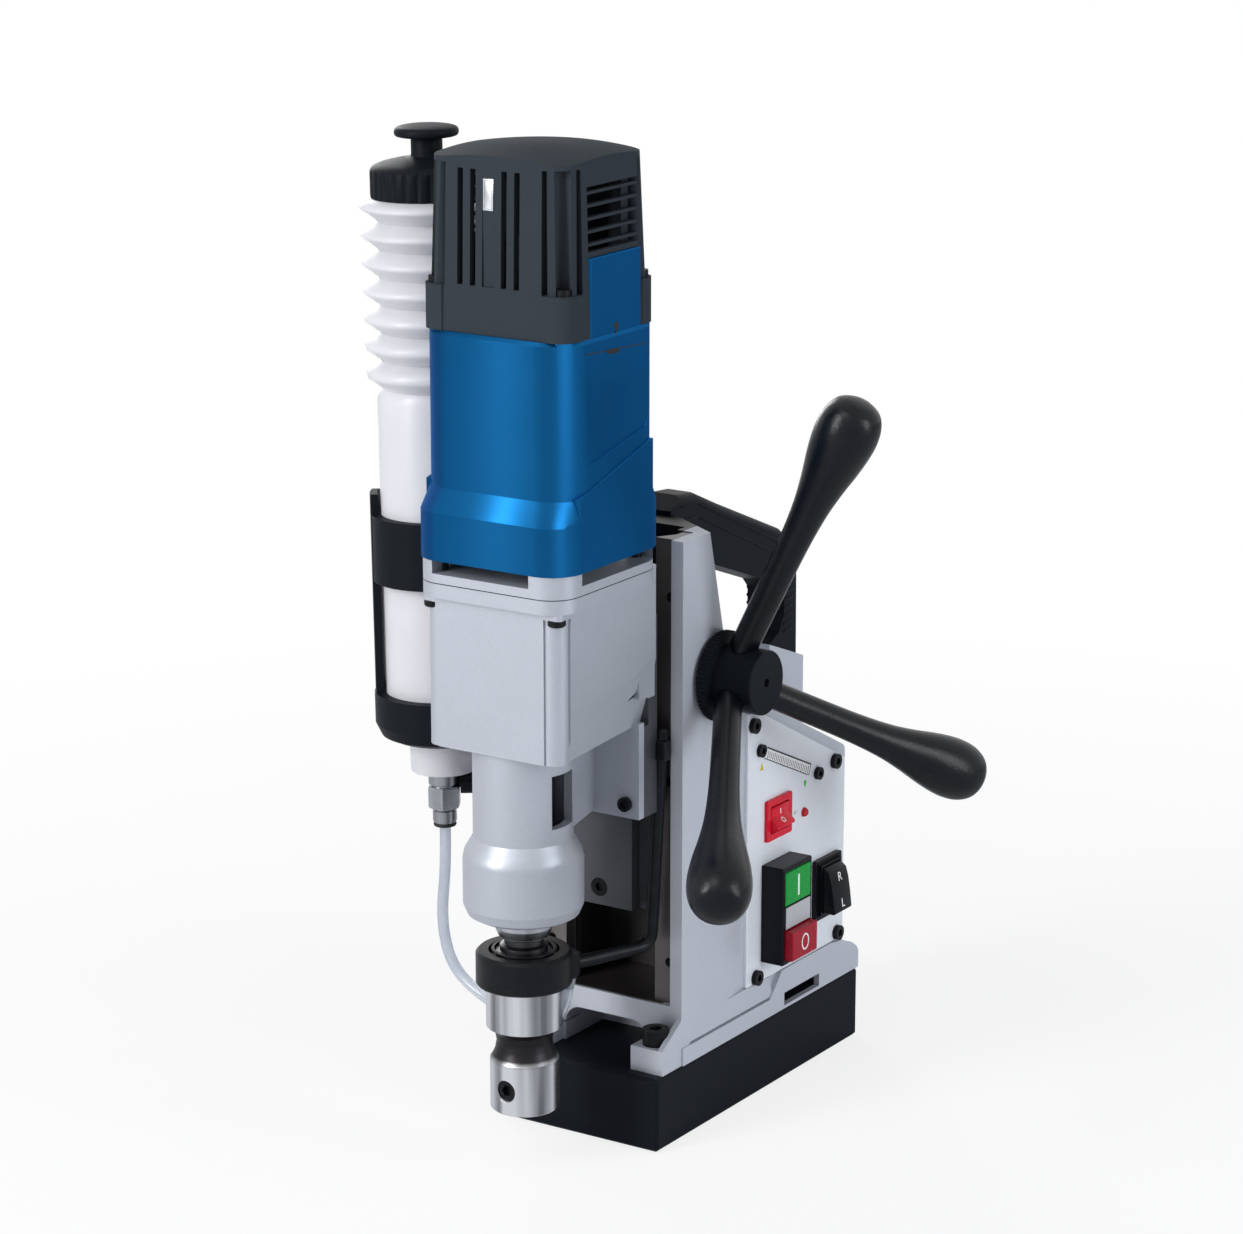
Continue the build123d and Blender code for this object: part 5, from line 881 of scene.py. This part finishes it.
def letter(name, text, at, x, body, lean):
    """Plain letter laid on the switch side."""
    curve = bpy.data.curves.new(name, "FONT")
    curve.body = text
    curve.size = 6.6
    curve.align_x, curve.align_y = "CENTER", "CENTER"
    curve.extrude = 0.12
    mesh = taken_from(name, curve)
    mesh.transform(on_side(at[0], at[1], x) @ Matrix.Rotation(math.radians(lean), 4, "X"))
    mesh.materials.clear()
    mesh.materials.append(print_white)
    piece = new_object(name, mesh)
    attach(piece, body)


letter("right_letter", "R", (63.3, 98.2), PANEL_X + 9.05, "direction_rocker", -12.0)
letter("left_letter", "L", (63.3, 84.6), PANEL_X + 11.25, "direction_rocker", -6.8)

# feed window: scale lines and border on its face, and the marks beside it
WINDOW, WINDOW_TURN, WINDOW_FACE = (24.3, 168.4), -24.5, 44.8
ticks = [bar(0.42, 4.0 if i % 4 == 0 else 3.2, -21.6 + 1.8 * i, -0.55) for i in range(25)]
frame_lines = [bar(47.4, 0.75, 0, 2.65), bar(47.4, 0.4, 0, -2.85), bar(0.5, 5.6, 23.5, 0)]
for name, lines, thickness in (("window_scale", ticks, 0.04), ("window_frame", frame_lines, 0.06)):
    print_mark(
        name, lines, WINDOW, WINDOW_FACE, "base", print_black, WINDOW_TURN,
        thickness=thickness,
    )
warning = [(-1.6, -1.7), (1.6, -1.7), (0.0, 2.3)]
arrow = [bar(2.2, 2.0, 0, 0.6), [(-0.9, -0.5), (0, -2.2), (0.9, -0.5)]]
bars = [bar(2.2, 0.5, 0, 0.9), bar(2.2, 0.5, 0, -0.1), bar(0.5, 2.4, -1.6, 0.3)]
print_mark("window_warning", [warning], (-0.2, 171.4), PANEL_X, "base", print_yellow)
print_mark("window_ready", arrow, (42.4, 152.0), PANEL_X, "base", print_green)
print_mark("lamp_mark", bars, (33.6, 138.6), PANEL_X, "base", print_grey)

# ---------------- valve under the bottle
bm = bmesh.new()
nut = circle(8.6, 6)
for low, high, grow in ((10.0, 19.6, 1.0), (9.4, 10.0, 0.94), (19.6, 20.2, 0.94)):
    stamp(bm, [(x * grow, y * grow) for x, y in nut], BOTTLE, high, low)
VALVE_LINE = [
    (2.9, 0.4), (4.9, 0.4), (5.2, 0.8), (5.2, 2.2), (5.9, 2.5), (5.9, 7.6), (5.4, 8.1),
    (6.4, 8.7), (6.4, 21.0), (7.6, 21.6), (7.6, 27.4), (7.2, 27.9), (2.9, 27.9),
]
lathe(bm, VALVE_LINE, BOTTLE, 64)
add_piece("valve_fitting", bm, "carriage", valve_nickel, 30.0, ("valve_body",))
bm = bmesh.new()
SEAL_RADIUS, SEAL_THICKNESS, SEAL_HEIGHT = 4.6, 1.1, 0.6
seal_line = [(SEAL_RADIUS + x, SEAL_HEIGHT + y) for x, y in circle(SEAL_THICKNESS, 12)]
lathe(bm, seal_line, BOTTLE, 64)
add_piece("valve_seal", bm, "carriage", rubber, 60.0)

# ---------------- motor: plate, cover marks, seam lines
bm = bmesh.new()
plate = axis_frame((-2.5, -165.6, 474.0), (0, -1, 0.024), (1, 0, 0))
soft_block(bm, plate, (5.6, 14.4, 0.7), 0.2)
add_piece("cap_plate", bm, "carriage", bright_foil, 30.0)
bm = bmesh.new()
stamp(bm, bar(4.7, 13.4), plate @ Matrix.Translation((0, 0, 0.35)), 0.16, -0.05, bar(3.7, 12.4))
add_piece("cap_plate_rim", bm, "carriage", bright_turned, 30.0)

COVER_X, SHELL_X = 40.8, 42.0
for side, end in ((1, "right"), (-1, "left")):
    bm = bmesh.new()
    place = axis_frame((side * COVER_X, -127.0, 413.0), (side, 0, 0), (0, 1, 0))
    stamp(bm, circle(1.7, 32), place, 0.06)
    stamp(bm, bar(1.3, 5.2, 0, -1.6), place, 0.05)
    add_piece("cover_notch_" + end, bm, "carriage", print_black)
    bm = bmesh.new()
    place = axis_frame((side * SHELL_X, -129.5, 402.6), (side, 0, 0), (0, 1, -0.051))
    stamp(bm, bar(50.0, 0.5), place, 0.08)
    stamp(bm, bar(9.5, 2.2, -1.9 * side, -0.7), place, 0.10)
    add_piece("shell_seam_" + end, bm, "carriage", print_black)

# black screw heads under the gearbox flange, one in each front corner pocket, also standing in for
# the shade under the flange
bm = bmesh.new()
for sx in (-1, 1):
    place = axis_frame((sx * 34.6, -167.2, 279.4), (0, 0, 1))
    lathe(bm, [(0, 0), (3.6, 0), (4.3, 0.7), (4.3, 3.2), (0, 3.2)], place, 40)
add_piece("flange_screws_and_shade", bm, "carriage", black_steel)

# dark joint line between the gearbox housing and its cover
def gearbox_outline(grow, half_width=41.8, front=-174.5, back=-87.5, corner=14.0, steps=10):
    """Section of the gearbox with its round corners, made larger or smaller."""
    half_width, front, back, corner = half_width + grow, front - grow, back + grow, corner + grow
    x, y_back, y_front = half_width - corner, back - corner, front + corner
    line = []
    for i, (cx, cy) in enumerate(((x, y_back), (-x, y_back), (-x, y_front), (x, y_front))):
        for k in range(steps + 1):
            a = math.radians(90 * i + 90 * k / steps)
            line.append((cx + corner * math.cos(a), cy + corner * math.sin(a)))
    return line


bm = bmesh.new()
flat = axis_frame((0, 0, 292.5), (0, 0, 1), (1, 0, 0))
stamp(bm, gearbox_outline(0.04), flat, 0.22, -0.22, gearbox_outline(-0.6))
add_piece("gearbox_joint_line", bm, "carriage", print_black)

# dark sheet inside the strap slot, standing in for the shade in the slot
bm = bmesh.new()
slot_frame = axis_frame((0.0, 40.0, 42.6), (1, 0, 0), (0, 1, 0))
stamp(bm, bar(34.98, 6.78), slot_frame, 41.9, -41.9, bar(34.5, 6.3))
add_piece("strap_slot_shade", bm, "base", black_moulding)

# ---------------- spring ring on the coolant ring
bm = bmesh.new()
spindle_line = axis_frame((0, -145.0, 0), (0, 0, 1))
SPRING_LINE = [
    (13.9, 111.05), (15.3, 111.05), (15.6, 111.3), (15.5, 111.7), (14.1, 111.8), (13.9, 111.5),
]
lathe(bm, SPRING_LINE, spindle_line, 96)
add_piece("spring_ring", bm, "spindle", black_steel, 30.0)

# ---------------- black steady rod of the coolant ring
def bent_rod(name, points, bend, radius, body, finish, replaced):
    """Round rod through corner points, bent on a radius, with a rounded free end."""
    points = [Vector(p) for p in points]
    line = [points[0]]
    for before, corner, after in zip(points, points[1:], points[2:]):
        start = corner + (before - corner).normalized() * bend
        end = corner + (after - corner).normalized() * bend
        for t in [k / 10 for k in range(11)]:
            line.append(start.lerp(corner, t).lerp(corner.lerp(end, t), t))
    tip, run = points[-1], (points[-1] - points[-2]).normalized()
    ends = [(3.0, 1.0), (1.8, 0.95), (0.9, 0.80), (0.3, 0.55), (0.0, 0.2)]
    line += [tip - run * back for back, _ in ends]
    curve = bpy.data.curves.new(name, "CURVE")
    curve.dimensions = "3D"
    curve.bevel_depth = radius * MM
    curve.bevel_resolution = 6
    curve.use_fill_caps = True
    spline = curve.splines.new("POLY")
    spline.points.add(len(line) - 1)
    for knot, point in zip(spline.points, line):
        knot.co = (*mm(*point), 1.0)
    for knot, (_, share) in zip(list(spline.points)[-len(ends):], ends):
        knot.radius = share
    bm = bmesh.new()
    bm.from_mesh(taken_from(name, curve))
    add_piece(name, bm, body, finish, 40.0, replaced)


ROD_POINTS = [(9.42, -122.28, 98.0), (28.2, -77.0, 98.0), (34.4, -77.0, 209.5)]
ROD_BEND, ROD_RADIUS = 8.0, 3.2
bent_rod(
    "steady_rod", ROD_POINTS, ROD_BEND, ROD_RADIUS, BODY_OF["ring_rod"],
    black_steel, ("ring_rod",),
)
bm = bmesh.new()
soft_block(bm, axis_frame((33.3, -79.0, 198.5), (0, -1, 0), (1, 0, 0)), (11.0, 9.4, 4.6), 0.9, 3)
add_piece("rod_guide", bm, "carriage", black_steel, 40.0)

# ---------------- carry handle ribs
HANDLE_X = 11.0
RIB_COUNT, RIB_FOOT, RIB_STEP, RIB_MIDDLE, RIB_LENGTH = 8, 219.5, 4.1, 79.5, 9.0
bm = bmesh.new()
for side in (-1, 1):
    for i in range(RIB_COUNT):
        at = (side * HANDLE_X, RIB_MIDDLE, RIB_FOOT + RIB_STEP * i)
        place = axis_frame(at, (side, 0, 0), (0, 1, 0.06))
        soft_block(bm, place, (RIB_LENGTH, 1.7, 0.8), 0.35, 2)
add_piece("handle_ribs", bm, "base", black_moulding, 40.0)
HANDLE_TOP_LINE = ((-24.0, 300.6), (-9.0, 299.6), (70.0, 264.4))
bm = bmesh.new()
for side in (-1, 1):
    for (y0, z0), (y1, z1) in zip(HANDLE_TOP_LINE, HANDLE_TOP_LINE[1:]):
        length = math.hypot(y1 - y0, z1 - z0)
        for lift in (-3.4, 3.4):
            at = (side * HANDLE_X, (y0 + y1) / 2, (z0 + z1) / 2 + lift)
            place = axis_frame(at, (side, 0, 0), (0, y1 - y0, z1 - z0))
            soft_block(bm, place, (length, 0.9, 0.7), 0.3, 2)
add_piece("handle_lines", bm, "base", black_moulding, 40.0)
